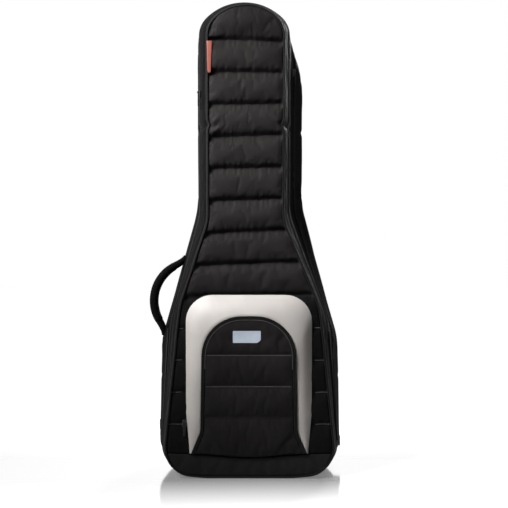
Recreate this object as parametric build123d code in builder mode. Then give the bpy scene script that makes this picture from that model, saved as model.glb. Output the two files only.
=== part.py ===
"""Padded gig bag for two electric guitars, standing upright on its soles.

Frame: millimetres, +Z up, +X to the right as seen from the front, the front faces -Y.
The origin is on the floor, under the middle of the bag's depth.

The bag is three padded shells, one behind the other.  The rear shell is the fixed one, with the back
panel, the straps and the handles.  The middle shell carries the divider and swings on a fabric hinge
down its left flank.  The front lid carries the accessory pocket and swings on its right flank.
"""
from build123d import *
from dataclasses import dataclass
from math import atan2, degrees, hypot, tan
import os

# ---------------------------------------------------------------- driving dimensions: outline
FLAT_BOTTOM = 100.0        # half width of the level part of the bottom edge
BOTTOM_ROUND = 300.0       # round where the bottom edge starts to rise
HIP_LIFT = 8.0             # rise of the bottom edge towards the hips
HIP_ROUND = 65.0
CHEST_ROUND = 200.0
WAIST_ROUND = 120.0
SOLE = 3.0                 # thickness of the rubber soles under the shells
SOLE_TREAD = 0.3           # rubber that the floor presses flat under each sole
CROWN_REACH = 0.96         # share of the crown's half width that its round takes up

FRONT_HIP = 197.0          # half widths and heights of the front panel's outline
FRONT_CHEST = 158.7
FRONT_CHEST_Z = 387.0
FRONT_WAIST = 86.0
FRONT_WAIST_Z = 581.0
FRONT_NECK = 88.0
FRONT_CROWN = 42.0

REAR_HIP = 219.0           # the same for the widest outline, in the rear shell
REAR_CHEST = 213.0
REAR_CHEST_Z = 305.0
REAR_WAIST = 126.0
REAR_WAIST_Z = 615.0
REAR_NECK = 128.0
REAR_CROWN = 64.0

# ---------------------------------------------------------------- driving dimensions: depths (Y)
FRONT_FACE = -95.0
FRONT_ZIP = -58.0          # parting plane of lid and middle shell
REAR_ZIP = 22.0            # parting plane of middle and rear shell
REAR_BELLY = 58.0          # depth of the widest outline
BACK_FACE = 95.0

# ---------------------------------------------------------------- driving dimensions: walls and seams
PANEL = 12.0               # padded front and back panels
WALL = 5.0                 # padded gussets
DIVIDER = 10.0
PIPING = 6.0               # width and depth of a piped edge
BEAD = 1.5                 # how far a piped edge stands out of its outline
TAPE_WIDTH = 8.0           # one half of a zip
TAPE_THICKNESS = 2.0
TAPE_INSET = 1.5
PARTING = 0.6              # gap between the two halves of a zip
SEAT = 0.3                 # clearance of a soft piece on its seat
TOE_BAND = 57.0            # height of the smooth band at the foot of the front panel
SOLE_REACH = 165.0         # half width of a sole
SOLE_WRAP = 22.0           # how far a sole wraps up the corners

# ---------------------------------------------------------------- driving dimensions: quilting
QUILT_PITCH = 72.0
QUILT_TOP = 988.0          # height of the highest groove
QUILT_COUNT = 13
GROOVE_RADIUS = 9.0
GROOVE_DEPTH = 3.0

# ---------------------------------------------------------------- driving dimensions: accessory pocket
POCKET_SHIFT = -1.5        # the pocket sits a little to the left
POCKET_FOOT = 58.0         # height of its lower seam
POCKET_TIP = 133.0         # half widths and heights of the foot of the boxed trim
POCKET_KNEE = 141.0
POCKET_KNEE_Z = 150.0
POCKET_SIDE = 142.0
POCKET_TOP = 414.0
POCKET_ROUND = 60.0
POCKET_KNEE_ROUND = 80.0
MOUTH_TIP = 130.0          # the same for its front edge, round the quilted face
MOUTH_KNEE = 109.0
MOUTH_KNEE_Z = 107.0
MOUTH_KNEE_ROUND = 40.0
MOUTH_SIDE = 104.0
MOUTH_TOP = 369.0
MOUTH_ROUND = 90.0
POCKET_FOOT_DEPTH = 3.0    # how far the trim's front edge stands off its base, at the foot
POCKET_TOP_DEPTH = 27.0    # and at the top
POCKET_WALL = 4.0
POCKET_FACE = 7.0          # thickness of the quilted face
POCKET_FACE_PROUD = 3.0    # how far it stands out of the trim's front edge
POCKET_PIPING = 8.0
POCKET_GROOVE_TOP = 282.0
POCKET_GROOVES = 3
POCKET_GROOVE_PITCH = 70.5
PLATE_WIDTH = 64.0         # blank label plate
PLATE_HEIGHT = 27.0
PLATE_THICKNESS = 1.2
PLATE_X = -5.0
PLATE_Z = 323.0

# ---------------------------------------------------------------- driving dimensions: small trim
TAB_WIDTH = 13.0           # leather tab at the head of the front panel
TAB_LENGTH = 72.0
TAB_THICKNESS = 2.2
TAB_TOP = 985.0
TAB_ROUND = 5.8

# ---------------------------------------------------------------- driving dimensions: zip sliders
SLIDER_WIDTH = 10.0
SLIDER_LENGTH = 16.0
SLIDER_THICKNESS = 3.0
BRIDGE_WIDTH = 3.0
BRIDGE_LENGTH = 4.0
BRIDGE_HEIGHT = 4.0
BRIDGE_RISE = 5.0          # the pull's pin sits this far above the slider's middle
PIN_RADIUS = 1.0
PULL_WIDTH = 6.4
PULL_LENGTH = 34.0
PULL_THICKNESS = 2.4
PULL_HEAD = 1.5            # the pull's head reaches this far past its pin
SLIDER_ROUND = 2.5
PULL_ROUND = 1.9
FRONT_SLIDER_Z = 871.0
REAR_SLIDER_Z = 935.0
POCKET_SLIDER_Z = 125.0

# ---------------------------------------------------------------- driving dimensions: hinges
HINGE_ROLL = 1.2           # radius of the fabric roll on a hinge line
HINGE_STANDOFF = 1.5       # the hinge line stands this far outside the flank
HINGE_LAP = 0.5            # the binding stands this far out of the outline
HINGE_LOW = 80.0
HINGE_HIGH = 330.0

# ---------------------------------------------------------------- driving dimensions: handles
HANDLE_STANDOFF = 18.0     # from the shell to the line through the handle's ends
HANDLE_BOW = 27.0
HANDLE_THICKNESS = 18.0
HANDLE_WIDTH = 30.0
TOP_HANDLE_WIDTH = 14.0
GRIP_ROUND = 0.4           # share of a grip's or strap's smaller side that its edge rounds take
SIDE_HANDLE_TOP_Z = 470.0
SIDE_HANDLE_FOOT_Z = 345.0
PIVOT_RADIUS = 7.0
PIVOT_LENGTH = 16.0
POST_LENGTH = 14.0
POST_WIDTH = 24.0
POST_ROUND = 3.5
TOP_HANDLE_Z = 1000.0
TOP_HANDLE_SPAN = 110.0
TOP_HANDLE_STANDOFF = 12.0

# ---------------------------------------------------------------- driving dimensions: shoulder straps
STRAP_X = 75.0
STRAP_TOP = 788.0
STRAP_FOOT = 285.0
STRAP_BULGE = 40.0
STRAP_WIDTH = 62.0
STRAP_THICKNESS = 9.0
YOKE_HEIGHT = 46.0
YOKE_THICKNESS = 4.0
YOKE_ROUND = 15.0
WEBBING_WIDTH = 25.0
WEBBING_THICKNESS = 1.5
WING_X = 224.0             # tip of the anchor wing
LEFT_WING_Z = 90.0
RIGHT_WING_Z = 50.0
WING_ROOT = 168.0
WING_HEIGHT = 38.0
WING_TIP_HEIGHT = 24.0
WING_THICKNESS = 2.5
LOCK_WIDTH = 36.0
LOCK_HEIGHT = 30.0
LOCK_THICKNESS = 5.0
LOCK_BAR = 5.0

# ---------------------------------------------------------------- driving dimensions: inside the chambers
CRADLE_WIDTH = 150.0
CRADLE_HEIGHT = 90.0
CRADLE_DEPTH = 30.0
CRADLE_Z = 690.0
CRADLE_SLOT = 58.0
CRADLE_SLOT_DEPTH = 20.0
CRADLE_ROUND = 12.0
NECK_STRAP_LENGTH = 74.0
NECK_STRAP_WIDTH = 40.0
NECK_STRAP_THICKNESS = 1.6
NECK_STRAP_ROUND = 5.0
CUSHION_WIDTH = 180.0
CUSHION_HEIGHT = 30.0
CUSHION_DEPTH = 45.0
CUSHION_ROUND = 10.0


@dataclass
class Station:
    """One section of the bag, parallel to its front."""
    depth: float
    spread: float          # 0 is the front panel's outline, 1 the widest one
    top: float
    shoulder_drop: float   # from the top down to where the neck's arch starts
    neck_shift: float      # the filled neck leans to its left


STATIONS = [
    Station(FRONT_FACE, 0.00, 1067.0, 46.0, -9.0),
    Station(FRONT_ZIP, 0.35, 1082.0, 50.0, -12.0),
    Station(REAR_ZIP, 0.58, 1086.0, 60.0, -12.0),
    Station(REAR_BELLY, 1.00, 1080.0, 130.0, 0.0),
    Station(BACK_FACE, 0.85, 1070.0, 125.0, 0.0),
]


def mix(first, second, share):
    """Value a share of the way from first to second."""
    return first + (second - first) * share


def station_at(depth):
    """Section at any depth, between its two neighbouring stations."""
    for before, after in zip(STATIONS, STATIONS[1:]):
        if depth <= after.depth:
            break
    share = (depth - before.depth) / (after.depth - before.depth)
    return Station(
        depth,
        mix(before.spread, after.spread, share),
        mix(before.top, after.top, share),
        mix(before.shoulder_drop, after.shoulder_drop, share),
        mix(before.neck_shift, after.neck_shift, share),
    )


def corners(depth, side):
    """Corner points (x, z) of one side of the outline, from the floor to the crown."""
    section = station_at(depth)
    spread = section.spread
    shift = section.neck_shift
    neck = mix(FRONT_NECK, REAR_NECK, spread)
    crown = mix(FRONT_CROWN, REAR_CROWN, spread)
    return [
        (side * FLAT_BOTTOM, SOLE),
        (side * mix(FRONT_HIP, REAR_HIP, spread), SOLE + HIP_LIFT),
        (side * mix(FRONT_CHEST, REAR_CHEST, spread), mix(FRONT_CHEST_Z, REAR_CHEST_Z, spread)),
        (shift + side * mix(FRONT_WAIST, REAR_WAIST, spread), mix(FRONT_WAIST_Z, REAR_WAIST_Z, spread)),
        (shift + side * neck, section.top - section.shoulder_drop),
        (shift + side * crown, section.top),
    ]


def rounds(depth):
    """Fillet radii of one side's corners; the arch's two rounds run into each other."""
    waist, shoulder, crown = corners(depth, 1)[-3:]
    crown_half = crown[0] - station_at(depth).neck_shift
    across = shoulder[0] - crown[0]
    rise = crown[1] - shoulder[1]
    crown_tangent = CROWN_REACH * crown_half
    shoulder_tangent = hypot(across, rise) - crown_tangent - 1
    crown_turn = atan2(rise, across)
    shoulder_turn = atan2(across, rise) + atan2(shoulder[0] - waist[0], shoulder[1] - waist[1])
    return [
        BOTTOM_ROUND,
        HIP_ROUND,
        CHEST_ROUND,
        WAIST_ROUND,
        shoulder_tangent / tan(shoulder_turn / 2),
        crown_tangent / tan(crown_turn / 2),
    ]


def plane_at(depth):
    """Plane parallel to the bag's front, with X to the right and Z up."""
    return Plane.XZ.offset(-depth)


def drawn_in(points, radii, inset):
    """Corners and radii of a closed filleted outline, moved inwards by inset all round."""
    moved = []
    for index, (point, radius) in enumerate(zip(points, radii)):
        before = Vector(*points[index - 1])
        here = Vector(*point)
        after = Vector(*points[(index + 1) % len(points)])
        along = (here - before).normalized()
        onward = (after - here).normalized()
        inward = Vector(-along.Y, along.X)
        inward_next = Vector(-onward.Y, onward.X)
        shift = (inward + inward_next) * (inset / (1 + inward.dot(inward_next)))
        outer_bend = along.cross(onward).Z > 0
        if radius > 0:
            radius += -inset if outer_bend else inset
        moved.append((here + shift, radius))
    return [point for point, _ in moved], [radius for _, radius in moved]


def bag_face(depth, inset=0.0):
    """Face of the bag's outline at a depth, drawn in by inset."""
    points = corners(depth, 1) + corners(depth, -1)[::-1]
    radii = rounds(depth)
    points, radii = drawn_in(points, radii + radii[::-1], inset)
    with BuildSketch(plane_at(depth)) as section:
        with BuildLine():
            FilletPolyline(*points, radius=radii, close=True)
        make_face()
    return section.sketch.face()


def wall_between(profile, inner_inset):
    """Ring wall through (depth, inset) pairs of its outer face, with an even inner face."""
    loft([bag_face(depth, inset) for depth, inset in profile], ruled=True)
    first = profile[0][0]
    last = profile[-1][0]
    inside = [first] + [s.depth for s in STATIONS if first < s.depth < last] + [last]
    loft([bag_face(depth, inner_inset) for depth in inside], ruled=True, mode=Mode.SUBTRACT)


def outline_face(plane, points, radii):
    """Face of a closed filleted outline on a plane."""
    with BuildSketch(plane) as section:
        with BuildLine():
            FilletPolyline(*points, radius=radii, close=True)
        make_face()
    return section.sketch.face()


def flank_line(depth, side, out):
    """Two points on a line that stands off one flank, from the hip to the chest."""
    hip, chest = corners(depth, side)[1:3]
    along = Vector(chest[0] - hip[0], chest[1] - hip[1]).normalized()
    outward = Vector(along.Y, -along.X) * side
    return [Vector(x + outward.X * out, depth, z + outward.Y * out) for x, z in (hip, chest)]


def at_height(line, height):
    """Point of a line through two points, at a height."""
    low, high = line
    return low + (high - low) * ((height - low.Z) / (high.Z - low.Z))


def rod(start, end, radius, mode=Mode.ADD):
    """Round bar from one point to another, in the part being built."""
    with BuildSketch(Plane(origin=start, z_dir=end - start)) as disc:
        Circle(radius)
    extrude(disc.sketch, amount=(end - start).length, mode=mode)


PARTS = []


def finish(name, builder):
    """Label a finished piece and keep it for export."""
    builder.part.label = name
    PARTS.append(builder.part)


# ================================================================ front lid
LID_TAPE_FRONT = FRONT_ZIP - PARTING / 2 - TAPE_WIDTH
LID_TAPE_BACK = FRONT_ZIP - PARTING / 2
MID_TAPE_FRONT = FRONT_ZIP + PARTING / 2
MID_TAPE_BACK = FRONT_ZIP + PARTING / 2 + TAPE_WIDTH
MID_REAR_TAPE_FRONT = REAR_ZIP - PARTING / 2 - TAPE_WIDTH
MID_REAR_TAPE_BACK = REAR_ZIP - PARTING / 2
REAR_TAPE_FRONT = REAR_ZIP + PARTING / 2
REAR_TAPE_BACK = REAR_ZIP + PARTING / 2 + TAPE_WIDTH


def piped_profile(start, end):
    """Outer profile of a piped edge that fills the depth from start to end."""
    step = (end - start) / 4
    return [(start, 0), (start + step, -BEAD), (end - step, -BEAD), (end, 0)]


def tape_ring(front, back):
    """One half of a zip that runs round the bag."""
    wall_between([(front, TAPE_INSET), (back, TAPE_INSET)], TAPE_INSET + TAPE_THICKNESS)


def sole_strip(front, back):
    """Rubber sole that follows the bottom edge and wraps up its corners."""
    tread = -SOLE - SOLE_TREAD
    wall_between([(front, tread), (back, tread)], 0)
    split(bisect_by=Plane.XY)
    with Locations((0, (front + back) / 2, 0)):
        Box(
            2 * SOLE_REACH, back - front, SOLE_WRAP,
            align=(Align.CENTER, Align.CENTER, Align.MIN), mode=Mode.INTERSECT,
        )


with BuildPart() as front_panel:
    extrude(bag_face(FRONT_FACE, PIPING + SEAT), amount=-PANEL)
    split(bisect_by=Plane.XY.offset(TOE_BAND))
    for groove in range(QUILT_COUNT):
        with Locations((0, FRONT_FACE - GROOVE_RADIUS + GROOVE_DEPTH, QUILT_TOP - groove * QUILT_PITCH)):
            Cylinder(GROOVE_RADIUS, 2 * FRONT_HIP, rotation=(0, 90, 0), mode=Mode.SUBTRACT)
finish("front_panel", front_panel)

with BuildPart() as toe_band:
    extrude(bag_face(FRONT_FACE, PIPING + SEAT), amount=-PANEL)
    split(bisect_by=Plane.XY.offset(TOE_BAND), keep=Keep.BOTTOM)
finish("toe_band", toe_band)

with BuildPart() as front_piping:
    wall_between(
        [(FRONT_FACE - BEAD, BEAD)] + piped_profile(FRONT_FACE - BEAD, FRONT_FACE + PIPING)[1:], PIPING
    )
finish("front_piping", front_piping)

with BuildPart() as lid_gusset:
    wall_between([(FRONT_FACE + PIPING, 0), (LID_TAPE_FRONT, 0)], WALL)
finish("lid_gusset", lid_gusset)

with BuildPart() as lid_zip_tape:
    tape_ring(LID_TAPE_FRONT, LID_TAPE_BACK)
finish("lid_zip_tape", lid_zip_tape)

with BuildPart() as lid_sole:
    sole_strip(FRONT_FACE + PIPING, LID_TAPE_FRONT)
finish("lid_sole", lid_sole)

with BuildPart() as leather_tab:
    tab_x = corners(FRONT_FACE, -1)[4][0] + TAB_WIDTH / 2
    with BuildSketch(plane_at(FRONT_FACE - BEAD - SEAT)):
        with Locations((tab_x, TAB_TOP - TAB_LENGTH / 2)):
            Rectangle(TAB_WIDTH, TAB_LENGTH)
        fillet(vertices().group_by(Axis.Y)[0], TAB_ROUND)
    extrude(amount=TAB_THICKNESS)
finish("leather_tab", leather_tab)


# ================================================================ accessory pocket
POCKET_BASE = FRONT_FACE - TAPE_THICKNESS - SEAT


def pocket_outline(tip, knee, knee_z, side, top, knee_round, corner_round, foot, inset):
    """Closed outline of the pocket's base or mouth, with a sharp tip at each foot."""
    half = [(tip, foot), (knee, knee_z), (side, top)]
    right = [(POCKET_SHIFT + x, z) for x, z in half]
    left = [(POCKET_SHIFT - x, z) for x, z in reversed(half)]
    radii = [0, knee_round, corner_round]
    return drawn_in(right + left, radii + radii[::-1], inset)


def pocket_base_face(depth, inset):
    """Face of the pocket's outline on the bag."""
    outline = pocket_outline(
        POCKET_TIP, POCKET_KNEE, POCKET_KNEE_Z, POCKET_SIDE, POCKET_TOP,
        POCKET_KNEE_ROUND, POCKET_ROUND, POCKET_FOOT, inset,
    )
    return outline_face(plane_at(depth), *outline)


POCKET_UP = Vector(0, POCKET_FOOT_DEPTH - POCKET_TOP_DEPTH, MOUTH_TOP - POCKET_FOOT).normalized()
POCKET_FRONT = Plane(
    origin=(0, POCKET_BASE - POCKET_FOOT_DEPTH, POCKET_FOOT),
    x_dir=(1, 0, 0),
    z_dir=Vector(1, 0, 0).cross(POCKET_UP),
)


def mouth_face(lift, inset):
    """Face of the pocket's mouth, lifted off the sloping front plane."""
    outline = pocket_outline(
        MOUTH_TIP, MOUTH_KNEE, MOUTH_KNEE_Z - POCKET_FOOT, MOUTH_SIDE, MOUTH_TOP - POCKET_FOOT,
        MOUTH_KNEE_ROUND, MOUTH_ROUND, 0, inset,
    )
    return outline_face(POCKET_FRONT.offset(lift), *outline)


with BuildPart() as pocket_trim:
    loft([pocket_base_face(POCKET_BASE, 0), mouth_face(0, 0)], ruled=True)
    loft(
        [pocket_base_face(POCKET_BASE, POCKET_WALL), mouth_face(0, POCKET_WALL)],
        ruled=True, mode=Mode.SUBTRACT,
    )
finish("pocket_trim", pocket_trim)

with BuildPart() as pocket_piping:
    extrude(mouth_face(0, SEAT), amount=POCKET_FACE_PROUD)
    extrude(mouth_face(0, POCKET_PIPING), amount=POCKET_FACE_PROUD, mode=Mode.SUBTRACT)
finish("pocket_piping", pocket_piping)

with BuildPart() as pocket_face:
    extrude(mouth_face(POCKET_FACE_PROUD, POCKET_PIPING + SEAT), amount=-POCKET_FACE)
    for groove in range(POCKET_GROOVES):
        rise = POCKET_GROOVE_TOP - POCKET_FOOT - groove * POCKET_GROOVE_PITCH
        with Locations(POCKET_FRONT.offset(POCKET_FACE_PROUD + GROOVE_RADIUS - GROOVE_DEPTH)):
            with Locations((0, rise)):
                Cylinder(GROOVE_RADIUS, 2 * POCKET_SIDE, rotation=(0, 90, 0), mode=Mode.SUBTRACT)
finish("pocket_face", pocket_face)

with BuildPart() as label_plate:
    with BuildSketch(POCKET_FRONT.offset(POCKET_FACE_PROUD)):
        with Locations((PLATE_X, PLATE_Z - POCKET_FOOT)):
            Rectangle(PLATE_WIDTH, PLATE_HEIGHT)
    extrude(amount=PLATE_THICKNESS)
finish("label_plate", label_plate)

with BuildPart() as pocket_zip_tape:
    extrude(pocket_base_face(FRONT_FACE, SEAT), amount=TAPE_THICKNESS)
    extrude(pocket_base_face(FRONT_FACE, TAPE_WIDTH), amount=TAPE_THICKNESS, mode=Mode.SUBTRACT)
finish("pocket_zip_tape", pocket_zip_tape)


# ================================================================ middle shell
with BuildPart() as middle_front_tape:
    tape_ring(MID_TAPE_FRONT, MID_TAPE_BACK)
finish("middle_front_tape", middle_front_tape)

with BuildPart() as middle_piping:
    wall_between(piped_profile(MID_TAPE_BACK, MID_TAPE_BACK + PIPING), WALL)
finish("middle_piping", middle_piping)

with BuildPart() as middle_gusset:
    wall_between([(MID_TAPE_BACK + PIPING, 0), (MID_REAR_TAPE_FRONT, 0)], WALL)
finish("middle_gusset", middle_gusset)

with BuildPart() as middle_rear_tape:
    tape_ring(MID_REAR_TAPE_FRONT, MID_REAR_TAPE_BACK)
finish("middle_rear_tape", middle_rear_tape)

with BuildPart() as middle_sole:
    sole_strip(MID_TAPE_BACK + PIPING, MID_REAR_TAPE_FRONT)
finish("middle_sole", middle_sole)

with BuildPart() as divider:
    extrude(bag_face(-DIVIDER / 2, WALL + SEAT), amount=-DIVIDER)
finish("divider", divider)


# ================================================================ rear shell
with BuildPart() as rear_zip_tape:
    tape_ring(REAR_TAPE_FRONT, REAR_TAPE_BACK)
finish("rear_zip_tape", rear_zip_tape)

with BuildPart() as rear_gusset:
    wall_between([(REAR_TAPE_BACK, 0), (REAR_BELLY, 0), (BACK_FACE - PIPING, 0)], WALL)
finish("rear_gusset", rear_gusset)

with BuildPart() as rear_piping:
    wall_between(
        piped_profile(BACK_FACE - PIPING, BACK_FACE + BEAD)[:-1] + [(BACK_FACE + BEAD, BEAD)], PIPING
    )
finish("rear_piping", rear_piping)

with BuildPart() as rear_sole:
    sole_strip(REAR_TAPE_BACK, BACK_FACE - PIPING)
finish("rear_sole", rear_sole)

with BuildPart() as back_panel:
    extrude(bag_face(BACK_FACE, PIPING + SEAT), amount=PANEL)
finish("back_panel", back_panel)


# ================================================================ fabric hinges
def hinge_binding(line, depth, back, side):
    """Bound strip on one flank with the fabric roll that the shell in front of it turns about."""
    wall_between([(depth, -HINGE_LAP), (back, -HINGE_LAP)], TAPE_INSET - SEAT)
    with Locations((side * REAR_HIP / 2, (depth + back) / 2, HINGE_LOW)):
        Box(
            REAR_HIP, back - depth, HINGE_HIGH - HINGE_LOW,
            align=(Align.CENTER, Align.CENTER, Align.MIN), mode=Mode.INTERSECT,
        )
    rod(at_height(line, HINGE_LOW), at_height(line, HINGE_HIGH), HINGE_ROLL)


LID_HINGE = flank_line(FRONT_ZIP, 1, HINGE_STANDOFF)
MIDDLE_HINGE = flank_line(REAR_ZIP, -1, HINGE_STANDOFF)

with BuildPart() as lid_hinge_binding:
    hinge_binding(LID_HINGE, MID_TAPE_FRONT, MID_TAPE_BACK, 1)
finish("lid_hinge_binding", lid_hinge_binding)

with BuildPart() as middle_hinge_binding:
    hinge_binding(MIDDLE_HINGE, REAR_TAPE_FRONT, REAR_TAPE_BACK, -1)
finish("middle_hinge_binding", middle_hinge_binding)


# ================================================================ zip sliders and their pulls
def neck_tape(depth, side, height):
    """Point on the outside of the zip tape, beside the neck."""
    waist, neck = corners(depth, side)[3:5]
    share = (height - waist[1]) / (neck[1] - waist[1])
    return Vector(mix(waist[0], neck[0], share) - side * TAPE_INSET, depth, height)


def slider_seat(origin, along, outward):
    """Plane of a slider: Y runs along the zip and Z points out of the bag."""
    along = along.normalized()
    return Plane(origin=origin, x_dir=along.cross(outward), z_dir=along.cross(outward).cross(along))


def neck_seat(depth, side, height):
    """Seat of a slider on the neck, clear of the tapes across its whole width."""
    proud = neck_tape(depth + SLIDER_WIDTH / 2, side, height)
    along = neck_tape(depth, side, height + 1) - neck_tape(depth, side, height)
    return slider_seat(Vector(proud.X + side * SEAT, depth, height), along, Vector(side, 0, 0))


def pin_line(seat, reach):
    """Ends of a pin through the eye of a slider, reaching out to each side of its middle."""
    height = SLIDER_THICKNESS + BRIDGE_HEIGHT / 2
    return [seat.from_local_coords(Vector(x, BRIDGE_RISE, height)) for x in (-reach, reach)]


def add_slider(seat):
    """Slider body with the eye for its pull."""
    with BuildSketch(seat) as body:
        RectangleRounded(SLIDER_WIDTH, SLIDER_LENGTH, SLIDER_ROUND)
    extrude(body.sketch, amount=SLIDER_THICKNESS)
    with BuildSketch(seat.offset(SLIDER_THICKNESS)) as bridge:
        with Locations((0, BRIDGE_RISE)):
            Rectangle(BRIDGE_WIDTH, BRIDGE_LENGTH)
    extrude(bridge.sketch, amount=BRIDGE_HEIGHT)
    rod(*pin_line(seat, BRIDGE_WIDTH), PIN_RADIUS + SEAT, mode=Mode.SUBTRACT)


def add_pull(seat):
    """Pull that hangs from the slider's eye on a pin."""
    slot = PULL_HEAD + BRIDGE_LENGTH
    with BuildSketch(seat.offset(SLIDER_THICKNESS + BRIDGE_HEIGHT / 2)) as tab:
        with Locations((0, BRIDGE_RISE + PULL_HEAD)):
            Rectangle(PULL_WIDTH, PULL_LENGTH, align=(Align.CENTER, Align.MAX))
        fillet(tab.vertices().group_by(Axis.Y)[0], PULL_ROUND)
        with Locations((0, BRIDGE_RISE + PULL_HEAD)):
            Rectangle(BRIDGE_WIDTH + 2 * SEAT, slot, align=(Align.CENTER, Align.MAX), mode=Mode.SUBTRACT)
    extrude(tab.sketch, amount=PULL_THICKNESS / 2, both=True)
    rod(*pin_line(seat, BRIDGE_WIDTH / 2 + 2 * SEAT), PIN_RADIUS)


POCKET_SLIDER_X = POCKET_SHIFT - max(POCKET_KNEE, POCKET_SIDE) - SEAT - SLIDER_WIDTH / 2
POCKET_SLIDER = Vector(POCKET_SLIDER_X, FRONT_FACE - SEAT, POCKET_SLIDER_Z)
SEATS = {
    "front": neck_seat(FRONT_ZIP, -1, FRONT_SLIDER_Z),
    "rear": neck_seat(REAR_ZIP, 1, REAR_SLIDER_Z),
    "pocket": slider_seat(POCKET_SLIDER, Vector(0, 0, 1), Vector(0, -1, 0)),
}

for zip_name, seat in SEATS.items():
    with BuildPart() as slider:
        add_slider(seat)
    finish(f"{zip_name}_slider", slider)

    with BuildPart() as pull:
        add_pull(seat)
    finish(f"{zip_name}_pull", pull)


# ================================================================ handles
def add_bow(plane, span, rise, thickness, width):
    """Padded grip that bows from one pivot to the other, with a round pivot at each end."""
    with BuildLine(plane) as path:
        ThreePointArc((0, 0), (span / 2, rise), (span, 0))
    start = Plane(origin=path.line @ 0, x_dir=plane.z_dir, z_dir=path.line % 0)
    with BuildSketch(start) as section:
        RectangleRounded(width, thickness, GRIP_ROUND * min(width, thickness))
    sweep(sections=section.sketch, path=path.line)
    for end in (0, span):
        near = plane.from_local_coords((end - PIVOT_LENGTH / 2, 0, 0))
        far = plane.from_local_coords((end + PIVOT_LENGTH / 2, 0, 0))
        rod(near, far, PIVOT_RADIUS)


def add_post(pivot, outward, reach, away):
    """Sewn post that holds one pivot, from the shell's surface to just past the pivot's line."""
    gap = PIVOT_LENGTH / 2 + SEAT
    foot = pivot - outward * (reach - SEAT) + away * gap
    with BuildSketch(Plane(origin=foot, x_dir=away, z_dir=outward)) as base:
        Rectangle(POST_LENGTH, POST_WIDTH, align=(Align.MIN, Align.CENTER))
        fillet(base.vertices(), POST_ROUND)
    extrude(base.sketch, amount=reach - SEAT + PIVOT_RADIUS)


def belly_point(height):
    """Point on the left flank of the rear shell's widest outline, between chest and waist."""
    chest, waist = corners(REAR_BELLY, -1)[2:4]
    share = (height - chest[1]) / (waist[1] - chest[1])
    return Vector(mix(chest[0], waist[0], share), REAR_BELLY, height)


SIDE_FOOT = belly_point(SIDE_HANDLE_FOOT_Z)
SIDE_HEAD = belly_point(SIDE_HANDLE_TOP_Z)
SIDE_ALONG = (SIDE_HEAD - SIDE_FOOT).normalized()
SIDE_OUT = Vector(0, 1, 0).cross(SIDE_ALONG) * -1
SIDE_SPAN = (SIDE_HEAD - SIDE_FOOT).length
SIDE_PLANE = Plane(
    origin=SIDE_FOOT + SIDE_OUT * HANDLE_STANDOFF, x_dir=SIDE_ALONG, z_dir=SIDE_ALONG.cross(SIDE_OUT)
)

with BuildPart() as side_handle:
    add_bow(SIDE_PLANE, SIDE_SPAN, HANDLE_BOW, HANDLE_THICKNESS, HANDLE_WIDTH)
finish("side_handle", side_handle)

with BuildPart() as side_handle_posts:
    add_post(SIDE_FOOT + SIDE_OUT * HANDLE_STANDOFF, SIDE_OUT, HANDLE_STANDOFF, -SIDE_ALONG)
    add_post(SIDE_HEAD + SIDE_OUT * HANDLE_STANDOFF, SIDE_OUT, HANDLE_STANDOFF, SIDE_ALONG)
finish("side_handle_posts", side_handle_posts)

TOP_OUT = Vector(0, 1, 0)
TOP_ALONG = Vector(1, 0, 0)
TOP_LEFT = Vector(-TOP_HANDLE_SPAN / 2, BACK_FACE + TOP_HANDLE_STANDOFF, TOP_HANDLE_Z)
TOP_RIGHT = TOP_LEFT + TOP_ALONG * TOP_HANDLE_SPAN
TOP_PLANE = Plane(origin=TOP_LEFT, x_dir=TOP_ALONG, z_dir=TOP_OUT)

with BuildPart() as top_handle:
    add_bow(TOP_PLANE, TOP_HANDLE_SPAN, HANDLE_BOW, HANDLE_THICKNESS, TOP_HANDLE_WIDTH)
finish("top_handle", top_handle)

with BuildPart() as top_handle_posts:
    add_post(TOP_LEFT, TOP_OUT, TOP_HANDLE_STANDOFF, -TOP_ALONG)
    add_post(TOP_RIGHT, TOP_OUT, TOP_HANDLE_STANDOFF, TOP_ALONG)
finish("top_handle_posts", top_handle_posts)


# ================================================================ shoulder straps
STRAP_SEAT = BACK_FACE + SEAT + STRAP_THICKNESS / 2
STRAP_SPAN = STRAP_TOP - STRAP_FOOT
STRAP_RADIUS = (STRAP_SPAN ** 2 / 4 + STRAP_BULGE ** 2) / (2 * STRAP_BULGE)
STRAP_END_TILT = STRAP_THICKNESS / 2 * STRAP_SPAN / 2 / STRAP_RADIUS
WEBBING_SEAT = BACK_FACE + SEAT
OVER_WEBBING = WEBBING_SEAT + WEBBING_THICKNESS + SEAT
LOCK_Z = STRAP_FOOT - STRAP_END_TILT - SEAT - LOCK_HEIGHT / 2

with BuildPart() as strap_yoke:
    with BuildSketch(plane_at(BACK_FACE + SEAT)):
        with Locations((0, STRAP_TOP + STRAP_END_TILT + SEAT)):
            Rectangle(2 * STRAP_X + STRAP_WIDTH, YOKE_HEIGHT, align=(Align.CENTER, Align.MIN))
        fillet(vertices().group_by(Axis.Y)[-1], YOKE_ROUND)
    extrude(amount=-YOKE_THICKNESS)
finish("strap_yoke", strap_yoke)

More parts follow.
